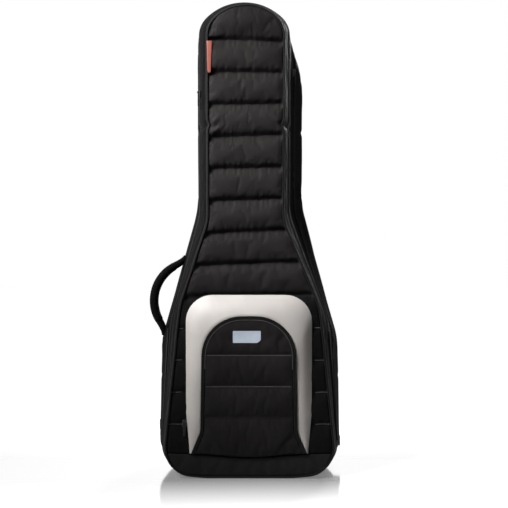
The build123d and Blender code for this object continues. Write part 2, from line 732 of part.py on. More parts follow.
for side_name, side, wing_z in (("left", -1, LEFT_WING_Z), ("right", 1, RIGHT_WING_Z)):
    with BuildPart() as shoulder_strap:
        with BuildLine(Plane.YZ.offset(side * STRAP_X)) as strap_path:
            ThreePointArc(
                (STRAP_SEAT, STRAP_TOP),
                (STRAP_SEAT + STRAP_BULGE, (STRAP_TOP + STRAP_FOOT) / 2),
                (STRAP_SEAT, STRAP_FOOT),
            )
        strap_end = Plane(origin=strap_path.line @ 0, x_dir=(1, 0, 0), z_dir=strap_path.line % 0)
        with BuildSketch(strap_end):
            RectangleRounded(STRAP_WIDTH, STRAP_THICKNESS, GRIP_ROUND * STRAP_THICKNESS)
        sweep()
    finish(f"shoulder_strap_{side_name}", shoulder_strap)

    with BuildPart() as ladder_lock:
        with BuildSketch(plane_at(OVER_WEBBING)):
            with Locations((side * STRAP_X, LOCK_Z)):
                RectangleRounded(LOCK_WIDTH, LOCK_HEIGHT, LOCK_BAR / 2)
                with GridLocations(0, (LOCK_HEIGHT - LOCK_BAR) / 2, 1, 2):
                    Rectangle(LOCK_WIDTH - 2 * LOCK_BAR, (LOCK_HEIGHT - 3 * LOCK_BAR) / 2, mode=Mode.SUBTRACT)
        extrude(amount=-LOCK_THICKNESS)
    finish(f"ladder_lock_{side_name}", ladder_lock)

    start = Vector(side * STRAP_X, LOCK_Z)
    end = Vector(side * (WING_ROOT + WEBBING_WIDTH / 2), wing_z)
    run = end - start
    with BuildPart() as strap_webbing:
        with BuildSketch(plane_at(WEBBING_SEAT)):
            with Locations(Location((start + end) * 0.5, degrees(atan2(run.Y, run.X)))):
                Rectangle(run.length + WEBBING_WIDTH / 2, WEBBING_WIDTH)
        extrude(amount=-WEBBING_THICKNESS)
    finish(f"strap_webbing_{side_name}", strap_webbing)

    with BuildPart() as anchor_wing:
        with BuildSketch(plane_at(OVER_WEBBING)):
            with BuildLine():
                Polyline(
                    (side * WING_ROOT, wing_z - WING_HEIGHT / 2),
                    (side * WING_X, wing_z - WING_TIP_HEIGHT / 2),
                    (side * WING_X, wing_z + WING_TIP_HEIGHT / 2),
                    (side * WING_ROOT, wing_z + WING_HEIGHT / 2),
                    close=True,
                )
            make_face()
        extrude(amount=-WING_THICKNESS)
    finish(f"anchor_wing_{side_name}", anchor_wing)


# ================================================================ inside the chambers
def chamber_seat(depth, centre_x):
    """Plane on a chamber's back wall, facing the front."""
    return Plane(origin=(centre_x, depth - SEAT, 0), x_dir=(1, 0, 0), z_dir=(0, -1, 0))


CHAMBERS = {
    "front": chamber_seat(-DIVIDER / 2, station_at(FRONT_ZIP).neck_shift),
    "rear": chamber_seat(BACK_FACE - PANEL, 0),
}

for chamber, seat in CHAMBERS.items():
    with BuildPart() as neck_cradle:
        with BuildSketch(seat):
            with Locations((0, CRADLE_Z)):
                RectangleRounded(CRADLE_WIDTH, CRADLE_HEIGHT, CRADLE_ROUND)
        extrude(amount=CRADLE_DEPTH)
        with BuildSketch(seat.offset(CRADLE_DEPTH)):
            with Locations((0, CRADLE_Z)):
                Rectangle(CRADLE_SLOT, CRADLE_HEIGHT)
        extrude(amount=-CRADLE_SLOT_DEPTH, mode=Mode.SUBTRACT)
    finish(f"{chamber}_neck_cradle", neck_cradle)

    with BuildPart() as neck_strap:
        with BuildSketch(seat.offset(CRADLE_DEPTH + SEAT)):
            with Locations((0, CRADLE_Z)):
                RectangleRounded(NECK_STRAP_LENGTH, NECK_STRAP_WIDTH, NECK_STRAP_ROUND)
        extrude(amount=NECK_STRAP_THICKNESS)
    finish(f"{chamber}_neck_strap", neck_strap)

    with BuildPart() as end_cushion:
        with BuildSketch(seat):
            with Locations((-seat.origin.X, SOLE + WALL + SEAT)):
                Rectangle(CUSHION_WIDTH, CUSHION_HEIGHT, align=(Align.CENTER, Align.MIN))
            fillet(vertices().group_by(Axis.Y)[-1], CUSHION_ROUND)
        extrude(amount=CUSHION_DEPTH)
    finish(f"{chamber}_end_cushion", end_cushion)


os.makedirs("parts", exist_ok=True)
for part in PARTS:
    export_step(part, f"parts/{part.label}.step")
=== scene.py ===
"""Looks of the padded gig bag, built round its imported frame.

Millimetres are used throughout and turned to metres as each mesh is made.  +Z is up and the quilted
front faces -Y.  The front, toe, pocket face, back and side walls are settled as cloth between their
seams and then closed.
"""

import math

import bmesh
import bpy
from mathutils import Matrix, Vector, noise


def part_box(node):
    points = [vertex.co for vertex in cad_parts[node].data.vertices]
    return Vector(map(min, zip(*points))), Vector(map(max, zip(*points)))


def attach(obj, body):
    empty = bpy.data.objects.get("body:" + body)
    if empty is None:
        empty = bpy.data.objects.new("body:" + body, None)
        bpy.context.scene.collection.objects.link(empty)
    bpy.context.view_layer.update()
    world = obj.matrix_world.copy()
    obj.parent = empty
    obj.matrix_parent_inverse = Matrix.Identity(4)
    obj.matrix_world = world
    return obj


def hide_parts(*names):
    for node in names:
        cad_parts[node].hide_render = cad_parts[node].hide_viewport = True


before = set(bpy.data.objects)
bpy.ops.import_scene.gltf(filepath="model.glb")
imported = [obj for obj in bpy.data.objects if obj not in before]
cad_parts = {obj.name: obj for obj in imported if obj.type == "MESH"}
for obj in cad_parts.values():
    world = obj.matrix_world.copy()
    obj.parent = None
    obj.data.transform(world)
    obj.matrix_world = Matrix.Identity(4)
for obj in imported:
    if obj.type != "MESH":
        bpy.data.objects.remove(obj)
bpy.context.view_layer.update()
scene = bpy.context.scene
MM = 0.001
ACROSS, BACKWARD, UP, FORWARD = (Vector(d) for d in ((1, 0, 0), (0, 1, 0), (0, 0, 1), (0, -1, 0)))


def mix(first, second, share):
    """Value a share of the way from first to second."""
    return first + (second - first) * share


def steps(first, last, count):
    """Evenly spaced values, ends included."""
    return [mix(first, last, k / (count - 1)) for k in range(count)]


def hump(value, centre, width):
    """Smooth bump of height 1 at centre."""
    return math.exp(-((value - centre) / width) ** 2)


def clamp(value):
    """Value held between 0 and 1."""
    return max(0.0, min(1.0, value))


# ---- the bag's outline, as its frame has it
SECTIONS = (
    # depth, spread, top, shoulder drop, lean
    (-95.0, 0.00, 1067.0, 46.0, -9.0),
    (-58.0, 0.35, 1082.0, 50.0, -12.0),
    (22.0, 0.58, 1086.0, 60.0, -12.0),
    (58.0, 1.00, 1080.0, 130.0, 0.0),
    (95.0, 0.85, 1070.0, 125.0, 0.0),
)
FLAT_BOTTOM, BOTTOM = 100.0, 3.0
# half widths at hip, chest, waist, shoulder and crown, each for the narrowest and widest outline
HALF_WIDTHS = ((197.0, 219.0), (158.7, 213.0), (86.0, 126.0), (88.0, 128.0), (42.0, 64.0))
HIP_HEIGHT, CHEST_HEIGHTS, WAIST_HEIGHTS = BOTTOM + 8.0, (387.0, 305.0), (581.0, 615.0)
ROUNDS = (300.0, 65.0, 200.0, 120.0)
CROWN_REACH = 0.96
# where the soft front has been bent in across the neck, and how far back
FOLD_HEIGHT, FOLD_DEPTH, FOLD_REACH, FOLDED_TO = 797.0, 4.5, 7.0, -40.0


def section(depth):
    """Spread, top, shoulder drop and lean of the outline at a depth."""
    for low, high in zip(SECTIONS, SECTIONS[1:]):
        if depth <= high[0]:
            break
    share = (depth - low[0]) / (high[0] - low[0])
    return [mix(a, b, share) for a, b in zip(low[1:], high[1:])]


def corner_points(depth, side):
    """Corners of one side of the outline, from the floor to the crown."""
    spread, top, drop, lean = section(depth)
    halves = [mix(a, b, spread) for a, b in HALF_WIDTHS]
    chest, waist = mix(*CHEST_HEIGHTS, spread), mix(*WAIST_HEIGHTS, spread)
    heights = (HIP_HEIGHT, chest, waist, top - drop, top)
    leans = (0.0, 0.0, lean, lean, lean)
    sides = [(shift + side * half, z) for shift, half, z in zip(leans, halves, heights)]
    return [(side * FLAT_BOTTOM, BOTTOM)] + sides


def corner_rounds(depth):
    """Radii of those corners; the arch's two rounds run into each other."""
    (wx, wz), (sx, sz), (cx, cz) = corner_points(depth, 1)[-3:]
    across, rise = sx - cx, cz - sz
    crown = CROWN_REACH * (cx - section(depth)[3])
    shoulder = math.hypot(across, rise) - crown - 1
    turn, over = math.atan2(across, rise) + math.atan2(sx - wx, sz - wz), math.atan2(rise, across)
    return list(ROUNDS) + [shoulder / math.tan(turn / 2), crown / math.tan(over / 2)]


def drawn_in(points, radii, inset):
    """Closed outline's corners and radii, moved inwards by inset all round."""
    moved = []
    for index, (point, radius) in enumerate(zip(points, radii)):
        before, here = Vector(points[index - 1]), Vector(point)
        after = Vector(points[(index + 1) % len(points)])
        along, onward = (here - before).normalized(), (after - here).normalized()
        inward = Vector((-along.y, along.x)) + Vector((-onward.y, onward.x))
        turn = along.x * onward.y - along.y * onward.x
        if radius > 0:
            radius += -inset if turn > 0 else inset
        moved.append((here + inward * (inset / (inward.length_squared / 2)), radius))
    return [point for point, _ in moved], [radius for _, radius in moved]


def filleted(points, radii, cuts=10):
    """One list of points per corner of a closed outline, along the corner's round."""
    arcs = []
    for index, (point, radius) in enumerate(zip(points, radii)):
        here = Vector(point)
        along = (here - Vector(points[index - 1])).normalized()
        onward = (Vector(points[(index + 1) % len(points)]) - here).normalized()
        turn = math.atan2(along.x * onward.y - along.y * onward.x, along.dot(onward))
        if radius <= 0 or abs(turn) < 1e-4:
            arcs.append([here])
            continue
        start = here - along * radius * math.tan(abs(turn) / 2)
        centre = start + Vector((-along.y, along.x)) * (1 if turn > 0 else -1) * radius
        arcs.append([centre + Matrix.Rotation(turn * cut / cuts, 2) @ (start - centre)
                     for cut in range(cuts + 1)])
    return arcs


def spaced(path, count):
    """Points evenly spaced along a path, ends included."""
    lengths = [0.0]
    for a, b in zip(path, path[1:]):
        lengths.append(lengths[-1] + (b - a).length)
    points, index = [], 0
    for step in range(count):
        target = lengths[-1] * step / (count - 1)
        while index < len(path) - 2 and lengths[index + 1] < target:
            index += 1
        run = lengths[index + 1] - lengths[index]
        share = (target - lengths[index]) / run if run else 0
        points.append(path[index].lerp(path[index + 1], share))
    return points


def folded_in(x, z, depth):
    """Sideways place of an outline point, where the soft front has been bent in across the neck."""
    fold = FOLD_DEPTH * hump(z, FOLD_HEIGHT, FOLD_REACH) if depth < FOLDED_TO else 0.0
    return x - math.copysign(fold, x)


def loop(depth, inset, count):
    """Closed ring of the outline at a depth, anticlockwise from the middle of the floor."""
    points = corner_points(depth, 1) + corner_points(depth, -1)[::-1]
    radii = corner_rounds(depth)
    arcs = filleted(*drawn_in(points, radii + radii[::-1], inset))
    _, top, _, lean = section(depth)
    floor, crown = Vector((0, BOTTOM + inset)), Vector((lean, top - inset))
    right = [floor] + [p for arc in arcs[:6] for p in arc] + [crown]
    left = [crown] + [p for arc in arcs[6:] for p in arc] + [floor]
    half = count // 2
    ring = spaced(right, half + 1)[:-1] + spaced(left, half + 1)[:-1]
    return [Vector((folded_in(p.x, p.y, depth), depth, p.y)) for p in ring]


def outward(before, after):
    """Direction away from the bag between two neighbours on such a ring."""
    run = after - before
    return Vector((run.z, 0, -run.x)).normalized()


# ---- camera, lamps and floor
def look_at(obj, place, target):
    """Put obj in the scene at place, facing target."""
    scene.collection.objects.link(obj)
    obj.location = place
    obj.rotation_euler = (Vector(target) - Vector(place)).to_track_quat("-Z", "Y").to_euler()


FOCAL_PIXELS, IMAGE_SIZE = 978.0, 508
EYE_RIGHT, EYE_HEIGHT, EYE_DISTANCE = 0.010, 0.506, 2.295
camera_data = bpy.data.cameras.new("camera")
camera_data.sensor_width = 36.0
camera_data.lens = FOCAL_PIXELS / IMAGE_SIZE * camera_data.sensor_width
camera_data.clip_end = 50.0
camera = bpy.data.objects.new("camera", camera_data)
look_at(camera, (EYE_RIGHT, -EYE_DISTANCE, EYE_HEIGHT), (EYE_RIGHT, 0.0, EYE_HEIGHT))
scene.camera = camera

SOFTBOXES = (
    # name, place, target, size, watts, degrees its grid lets out
    ("top_softbox", (-1.0, -0.85, 1.65), (0.0, 0.0, 0.74), 0.7, 6.4, 46.0),
    ("left_softbox", (-2.4, -1.6, 1.6), (0.0, 0.0, 0.60), 1.2, 1.3, 50.0),
    ("back_softbox", (0.9, 2.2, 1.7), (0.0, 0.0, 0.6), 0.8, 5.0, 45.0),
    ("right_softbox", (2.6, -0.6, 1.8), (0.0, 0.0, 1.05), 1.0, 0.26, 42.0),
)
for name, place, target, size, watts, spread in SOFTBOXES:
    lamp_data = bpy.data.lights.new(name, "AREA")
    lamp_data.size = size
    lamp_data.energy = watts
    lamp_data.spread = math.radians(spread)
    look_at(bpy.data.objects.new(name, lamp_data), place, target)


def linear(code):
    """Linear colour of an sRGB hex value."""
    values = [int(code[i:i + 2], 16) / 255 for i in (1, 3, 5)]
    return [v / 12.92 if v <= 0.04045 else ((v + 0.055) / 1.055) ** 2.4 for v in values] + [1.0]


def add(tree, kind, inputs=None, **settings):
    """One node with its settings; an input takes a value or another node's output."""
    node = tree.nodes.new("ShaderNode" + kind)
    for name, value in settings.items():
        setattr(node, name, value)
    for name, value in (inputs or {}).items():
        if isinstance(value, bpy.types.NodeSocket):
            tree.links.new(value, node.inputs[name])
        else:
            node.inputs[name].default_value = value
    return node


def empty_tree(data):
    """Node tree of a material or world, with nothing in it."""
    data.use_nodes = True
    data.node_tree.nodes.clear()
    return data.node_tree


def background_rays(tree):
    """1 for rays that show the background: from the camera, in gloss and through glass."""
    path = add(tree, "LightPath").outputs
    direct = add(tree, "Math", {0: path["Is Camera Ray"], 1: path["Is Glossy Ray"]},
                 operation="MAXIMUM")
    return add(tree, "Math", {0: direct.outputs[0], 1: path["Is Transmission Ray"]},
               operation="MAXIMUM").outputs[0]


scene.world = bpy.data.worlds.new("studio")
tree = empty_tree(scene.world)
seen = background_rays(tree)
strength = add(tree, "MapRange", {"Value": seen, "To Min": 0.05, "To Max": 1.0})
studio = add(tree, "Background", {"Color": (1, 1, 1, 1), "Strength": strength.outputs[0]})
add(tree, "OutputWorld", {"Surface": studio.outputs[0]})
scene.view_settings.view_transform = "Standard"

# white sweep: mirrors softly near the bag and glows evenly further off, so its edge never shows
SHINE_STARTS, SHINE_ENDS, GLOW_FULL = 0.105, 0.37, 0.36
floor_material = bpy.data.materials.new("white_sweep")
tree = empty_tree(floor_material)
matt = add(tree, "BsdfDiffuse", {"Color": linear("#dcdcdc")})
mirror = add(tree, "BsdfGlossy", {"Color": (1, 1, 1, 1), "Roughness": 0.10})
place = add(tree, "SeparateXYZ", {0: add(tree, "TexCoord").outputs["Object"]})
away = add(tree, "Math", {0: place.outputs["Y"]}, operation="ABSOLUTE").outputs[0]
polish = add(tree, "MapRange", {"Value": away, "From Min": SHINE_STARTS, "From Max": SHINE_ENDS,
                                "To Min": 0.72, "To Max": 0.0})
lift = add(tree, "MapRange", {"Value": away, "From Min": SHINE_STARTS, "From Max": GLOW_FULL,
                              "To Min": 0.66, "To Max": 1.0})
glow = add(tree, "Emission", {"Color": (1, 1, 1, 1), "Strength": lift.outputs[0]})
sheet = add(tree, "AddShader", {0: matt.outputs[0], 1: glow.outputs[0]})
lit = add(tree, "MixShader", {0: polish.outputs[0], 1: sheet.outputs[0], 2: mirror.outputs[0]})
dim = add(tree, "BsdfDiffuse", {"Color": linear("#808080")})
both = add(tree, "MixShader", {0: background_rays(tree), 1: dim.outputs[0], 2: lit.outputs[0]})
add(tree, "OutputMaterial", {"Surface": both.outputs[0]})
bm = bmesh.new()
bmesh.ops.create_grid(bm, x_segments=1, y_segments=1, size=12.0)
floor_mesh = bpy.data.meshes.new("floor")
bm.to_mesh(floor_mesh)
bm.free()
floor_mesh.materials.append(floor_material)
floor = bpy.data.objects.new("floor", floor_mesh)
scene.collection.objects.link(floor)


# ---- materials
def dyed_material(name, base, worn, rough, play, patch, grain, uv, relief, **shader):
    """Material dyed unevenly in patches, its gloss uneven by the grain; relief gives its bumps."""
    material = bpy.data.materials.new(name)
    tree = empty_tree(material)
    where = add(tree, "TexCoord").outputs["UV" if uv else "Object"]
    if uv:
        where = add(tree, "VectorMath", {0: where, 1: (MM, MM, MM)},
                    operation="MULTIPLY").outputs[0]
    dye, fine = (add(tree, "TexNoise", {
        "Vector": where, "Scale": 1 / (size * MM), "Detail": 3.0, "Roughness": 0.55,
    }).outputs["Fac"] for size in (patch, grain))
    shade = add(tree, "MapRange", {"Value": dye, "From Min": 0.35, "From Max": 0.65}).outputs[0]
    colour = add(tree, "Mix", {0: shade, 6: linear(base), 7: linear(worn)}, data_type="RGBA")
    gloss = add(tree, "MapRange", {"Value": fine, "To Min": rough - play, "To Max": rough + play})
    skin = add(tree, "BsdfPrincipled", {
        "Base Color": colour.outputs[2],
        "Roughness": gloss.outputs[0],
        "Normal": relief(tree, where, fine),
        **shader,
    })
    add(tree, "OutputMaterial", {"Surface": skin.outputs[0]})
    return material


def cloth_material(name, base, worn, rough, thread, weave, crease, sheen, uv=False, specular=0.15):
    """Woven nylon: threads that cross over soft creases; pitch and depths in millimetres."""
    def relief(tree, where, _):
        axes = add(tree, "SeparateXYZ", {0: where})
        waves = []
        for axis in "XYZ":
            turned = add(tree, "Math", {0: axes.outputs[axis], 1: 2 * math.pi / (thread * MM)},
                         operation="MULTIPLY")
            waves.append(add(tree, "Math", {0: turned.outputs[0]}, operation="SINE").outputs[0])
        level = add(tree, "Math", {0: waves[0], 1: waves[1 if uv else 2]},
                    operation="MULTIPLY").outputs[0]
        woven = add(tree, "Math", {0: level, 1: level if uv else waves[1], 2: 0.5},
                    operation="MULTIPLY_ADD")
        folds = add(tree, "TexNoise", {"Vector": where, "Scale": 1 / (26.0 * MM), "Detail": 4.0,
                                       "Roughness": 0.6})
        first = add(tree, "Bump", {"Height": woven.outputs[0], "Strength": 0.6,
                                   "Distance": weave * MM})
        return add(tree, "Bump", {"Height": folds.outputs["Fac"], "Strength": 0.7,
                                  "Distance": crease * MM, "Normal": first.outputs[0]}).outputs[0]

    return dyed_material(name, base, worn, rough, 0.07, 90.0, 7.0, uv, relief, **{
        "Specular IOR Level": specular, "Sheen Weight": sheen, "Sheen Roughness": 0.45})


def smooth_material(name, base, worn, rough, grain, depth, metallic=0.0, specular=0.5, coat=0.0):
    """Moulded, coated or cast surface: one colour with a fine grain."""
    def relief(tree, _, fine):
        return add(tree, "Bump", {"Height": fine, "Strength": 0.6,
                                  "Distance": depth * MM}).outputs[0]

    return dyed_material(name, base, worn, rough, 0.06, 60.0, grain, False, relief, **{
        "Metallic": metallic, "Specular IOR Level": specular, "Coat Weight": coat,
        "Coat Roughness": 0.15})


# charcoal rather than black, with a soft gloss along each puffed bay
quilt_nylon = cloth_material("charcoal_nylon_taffeta", "#211f1f", "#272525", 0.42, 1.2, 0.10, 0.5,
                             0.02, specular=0.025)
# the darkest cloth, nearly without gloss: black nylon, darkened further with painted shade so the
# walls fall back behind the front
gusset_nylon = cloth_material("black_nylon_oxford", "#0b0a0a", "#0e0d0d", 0.6, 1.4, 0.14, 0.7,
                              0.008, specular=0.02)
# painted shade: the quilting's cloth darkened, between those two in tone, on the narrow strips
# beside the pocket
shaded_strip_nylon = cloth_material("black_nylon_painted_shade", "#131212", "#171616", 0.5, 1.2, 0.10, 0.5,
                             0.01, specular=0.02)
# open knit that shows its coarse holes and no gloss
back_nylon = cloth_material("black_spacer_mesh", "#1e1e1f", "#252526", 0.8, 2.6, 0.5, 0.8, 0.1)
# a tight, coated weave: smoother and glossier than the quilting
toe_nylon = cloth_material("coated_ballistic_nylon", "#1d1c1c", "#222121", 0.38, 1.2, 0.08, 0.35,
                           0.01, specular=0.05)
# thin cloth drawn tight over a cord, so it catches a line of light
cord_nylon = cloth_material("nylon_piping_tape", "#181717", "#1c1b1b", 0.5, 1.0, 0.10, 0.3, 0.02,
                            uv=True, specular=0.05)
# fine matt weave, darker than the piping beside it
zip_cloth = cloth_material("woven_zip_tape", "#111111", "#151515", 0.75, 1.0, 0.12, 0.1, 0.02,
                           uv=True, specular=0.06)
# coarse ribs along the straps
webbing_cloth = cloth_material("nylon_webbing", "#1b1b1b", "#222222", 0.6, 1.6, 0.35, 0.2, 0.1,
                               uv=True)
# deep grey pile with a velvet edge
lining_cloth = cloth_material("grey_plush_lining", "#4c4c50", "#56565a", 0.9, 1.6, 0.3, 0.9, 0.5)
# furry black that swallows the light
loop_cloth = cloth_material("hook_and_loop_tape", "#171717", "#1e1e1e", 0.95, 1.0, 0.4, 0.4, 0.4)
# painted highlight: the folds along the seams coloured a little lighter than the quilting, for the
# thin pale lines of its seams
binding = cloth_material("seam_edge_painted_highlight", "#4a4746", "#565352", 0.55, 1.0, 0.08, 0.2, 0.03,
                         uv=True, specular=0.06)
# small hard coils that only just glint
zip_coil = smooth_material("black_nylon_zip_coil", "#0e0e0e", "#121212", 0.5, 0.8, 0.02,
                           specular=0.1)
# dull and dry, with a fine pitted grain
sole_rubber = smooth_material("black_moulded_rubber", "#181818", "#1f1f1f", 0.68, 1.4, 0.08)
# smoother than the soles, with a faint soft shine
pull_rubber = smooth_material("black_soft_rubber", "#151515", "#1a1a1a", 0.6, 1.0, 0.05,
                              specular=0.15)
# warm pale grey with a fine leather grain and a broad, soft shine
trim_vinyl = smooth_material("pale_grey_vinyl_leathercloth", "#c6c1bd", "#beb9b5", 0.48, 1.6, 0.10)
# brick red that has darkened in patches
tab_leather = smooth_material("red_split_leather", "#8a4637", "#783527", 0.5, 1.3, 0.12)
# cool pale metal that mirrors the room softly
plate_metal = smooth_material("brushed_aluminium", "#a9b3be", "#98a2ae", 0.34, 0.6, 0.01,
                              metallic=1.0)
# black with a thin clear lacquer's sharp glints
slider_metal = smooth_material("black_lacquered_zinc", "#18181a", "#1e1e20", 0.3, 1.2, 0.01,
                               specular=0.3, coat=0.2)
# satin black buckles
lock_plastic = smooth_material("black_moulded_acetal", "#1a1a1a", "#202020", 0.42, 0.9, 0.03)
# a shade lighter than every cloth, so each row of stitches reads
thread = smooth_material("bonded_nylon_thread", "#3c3b3b", "#454444", 0.5, 0.5, 0.05, specular=0.1)


# ---- making meshes
def grid(bm, rows, round_about=False, round_across=False):
    """Sheet through rows of points, UV in millimetres; it may close on itself either way."""
    rows = [list(row) + ([row[0]] if round_about else []) for row in rows]
    if round_across:
        rows.append(rows[0])
    wide, tall = len(rows[0]), len(rows)
    made = bmesh.ops.create_grid(bm, x_segments=wide - 1, y_segments=tall - 1, size=1)["verts"]
    across, up = [0.0], [0.0]
    for a, b in zip(rows[0], rows[0][1:]):
        across.append(across[-1] + (b - a).length)
    for a, b in zip(rows, rows[1:]):
        up.append(up[-1] + (b[wide // 3] - a[wide // 3]).length)
    uv_layer = bm.loops.layers.uv.verify()
    spot = {}
    for index, vert in enumerate(made):
        row, column = divmod(index, wide)
        vert.co = rows[row][column] * MM
        spot[vert] = (across[column], up[row])
    for face in {face for vert in made for face in vert.link_faces}:
        for corner in face.loops:
            corner[uv_layer].uv = spot[corner.vert]
    if round_about or round_across:
        bmesh.ops.remove_doubles(bm, verts=made, dist=1e-6)
    return made


def close_ends(bm):
    """Fill every open end."""
    bmesh.ops.holes_fill(bm, edges=[e for e in bm.edges if e.is_boundary], sides=0)


def wrapped(rows):
    """New mesh through rows of points that closes on itself both ways."""
    bm = bmesh.new()
    grid(bm, rows, round_about=True, round_across=True)
    return bm


def keep(bm, name, finish, body, slot, *nodes, sharp=40.0, extra=(), fill=None):
    """Finished piece: mesh it, smooth it, hang it on its body and hide the frame parts it stands
    for.

    extra gives the other finishes, each with the first of the faces that were added for it.
    """
    bmesh.ops.recalc_face_normals(bm, faces=bm.faces)
    bm.faces.ensure_lookup_table()
    for face in bm.faces:
        face.smooth = True
    for index, (first, _) in enumerate(extra, 1):
        for face in bm.faces[first:]:
            face.material_index = index
    mesh = bpy.data.meshes.new(name)
    bm.to_mesh(mesh)
    bm.free()
    for material in [finish] + [other for _, other in extra]:
        mesh.materials.append(material)
    mesh.set_sharp_from_angle(angle=math.radians(sharp))
    obj = bpy.data.objects.new(name, mesh)
    scene.collection.objects.link(obj)
    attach(obj, body)
    if nodes:
        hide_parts(*nodes)
    return obj


def refinish(obj, material, wanted):
    """Another material on those of a piece's faces whose centre passes the test."""
    obj.data.materials.append(material)
    for face in obj.data.polygons:
        if wanted(face.center):
            face.material_index = len(obj.data.materials) - 1


def sweep(bm, path, shape, out):
    """Tube along a path; its shape of (side, out) points and its out may depend on the index."""
    rows = []
    for index, point in enumerate(path):
        before, after = path[max(index - 1, 0)], path[min(index + 1, len(path) - 1)]
        along = (after - before).normalized()
        side = along.cross(out(index) if callable(out) else out).normalized()
        proud = side.cross(along)
        outline = shape(index) if callable(shape) else shape
        rows.append([point + side * a + proud * b for a, b in outline])
    grid(bm, rows, round_about=True)
    close_ends(bm)


def swept(path, shape, out):
    """New mesh with one such tube."""
    bm = bmesh.new()
    sweep(bm, path, shape, out)
    return bm


def oval(width, height, sides=16, power=2.6):
    """Flattened round shape."""
    def reach(part, size):
        return math.copysign(abs(part) ** (2 / power), part) * size / 2

    turns = [2 * math.pi * (k + 0.5) / sides for k in range(sides)]
    return [(reach(math.cos(a), width), reach(math.sin(a), height)) for a in turns]


def stitches(bm, path, out, pitch=4.0, thick=0.4):
    """Row of sewing stitches: a thread that dips into the cloth between them."""
    total = sum((b - a).length for a, b in zip(path, path[1:]))
    line = spaced(path, max(2, int(total / pitch)) * 4 + 1)
    lifts = [out(point) if callable(out) else out for point in line]
    line = [point - lift * (0.0 if index % 4 else thick)
            for index, (point, lift) in enumerate(zip(line, lifts))]
    thin, full = oval(thick, thick, 6, 2.0), oval(2 * thick, 1.6 * thick, 6, 2.0)
    sweep(bm, line, lambda index: full if index % 4 else thin, lambda index: lifts[index])


def flat_plate(outline, lift, thickness, plane, round_off, segments=3, angle=1.2):
    """Flat piece with bevelled edges on a plane given by its origin, x and y directions."""
    origin, x_dir, y_dir = plane
    normal = x_dir.cross(y_dir)
    bm = bmesh.new()
    base = origin + normal * lift
    verts = [bm.verts.new((base + x_dir * x + y_dir * y) * MM) for x, y in outline]
    made = bmesh.ops.extrude_face_region(bm, geom=[bm.faces.new(verts)])["geom"]
    far = [part for part in made if isinstance(part, bmesh.types.BMVert)]
    bmesh.ops.translate(bm, verts=far, vec=normal * thickness * MM)
    edges = [e for e in bm.edges if e.calc_face_angle(0) > angle]
    bmesh.ops.bevel(bm, geom=edges, offset=round_off * MM, affect="EDGES", segments=segments,
                    profile=0.5, material=-1)
    return bm


def rounded_box(width, height, radius, centre=(0.0, 0.0)):
    """Flat outline of a rectangle with round corners."""
    w, h = width / 2, height / 2
    arcs = filleted([(w, -h), (w, h), (-w, h), (-w, -h)], [radius] * 4, cuts=6)
    return [(p.x + centre[0], p.y + centre[1]) for arc in arcs for p in arc]


# ---- filling outlines and settling fabric
def span(path, z):
    """Lowest and highest x of a closed outline at a height."""
    found = [mix(a.x, b.x, (z - a.z) / (b.z - a.z)) for a, b in zip(path, path[1:] + path[:1])
             if (a.z - z) * (b.z - z) <= 0 and a.z != b.z]
    return min(found), max(found)


def edge_height(path, x, edge=max):
    """Height of a closed outline's upper edge at x, or of its lower one with edge=min."""
    return edge(mix(a.z, b.z, (x - a.x) / (b.x - a.x)) for a, b in zip(path, path[1:] + path[:1])
                if (a.x - x) * (b.x - x) <= 0 and a.x != b.x)


def half_turned(path, wanted):
    """Point of a closed outline, among those wanted, where it runs nearest to half upright."""
    def skew(index):
        run = path[(index + 1) % len(path)] - path[index - 1]
        return abs(abs(run.x) - abs(run.z)) / run.length

    return path[min((i for i, point in enumerate(path) if wanted(point)), key=skew)]


def settle(rows, sewn, growth, cap, pressure=4.0, bending=1.0, round_about=False):
    """Cloth held at its sewn points, cut a little too large and blown out until it creases."""
    wide, frames = len(rows[0]), 14
    flat = [point for row in rows for point in row]
    bm = bmesh.new()
    bmesh.ops.create_grid(bm, x_segments=wide - 1, y_segments=len(rows) - 1, size=1)
    bm.verts.ensure_lookup_table()
    for vert, point in zip(bm.verts, flat):
        vert.co = point * MM
    if round_about:
        for low in range(0, wide * (len(rows) - 1), wide):
            high = low + wide
            bm.faces.new([bm.verts[i] for i in (low + wide - 1, low, high, high + wide - 1)])
    mesh = bpy.data.meshes.new("cloth")
    bm.to_mesh(mesh)
    bm.free()
    obj = bpy.data.objects.new("cloth", mesh)
    scene.collection.objects.link(obj)
    group = obj.vertex_groups.new(name="sewn")
    group.add([i for i in range(len(flat)) if sewn(i // wide, i % wide)], 1.0, "REPLACE")
    cloth = obj.modifiers.new("cloth", "CLOTH")
    how = cloth.settings
    how.quality = 5
    how.vertex_group_mass = "sewn"
    how.shrink_min = -growth
    how.use_pressure = True
    how.uniform_pressure_force = pressure
    how.effector_weights.gravity = 0
    how.bending_stiffness = bending
    cloth.collision_settings.use_collision = False
    cloth.point_cache.frame_start, cloth.point_cache.frame_end = 1, frames
    for step in range(1, frames + 1):
        scene.frame_set(step)
    settled = obj.evaluated_get(bpy.context.evaluated_depsgraph_get()).data
    moved = []
    for point, vert in zip(flat, settled.vertices):
        shift = vert.co / MM - point
        moved.append(point + shift * min(1.0, cap / max(shift.length, 1e-9)))
    bpy.data.objects.remove(obj)
    bpy.data.meshes.remove(mesh)
    scene.frame_set(1)
    return [moved[i:i + wide] for i in range(0, len(moved), wide)]


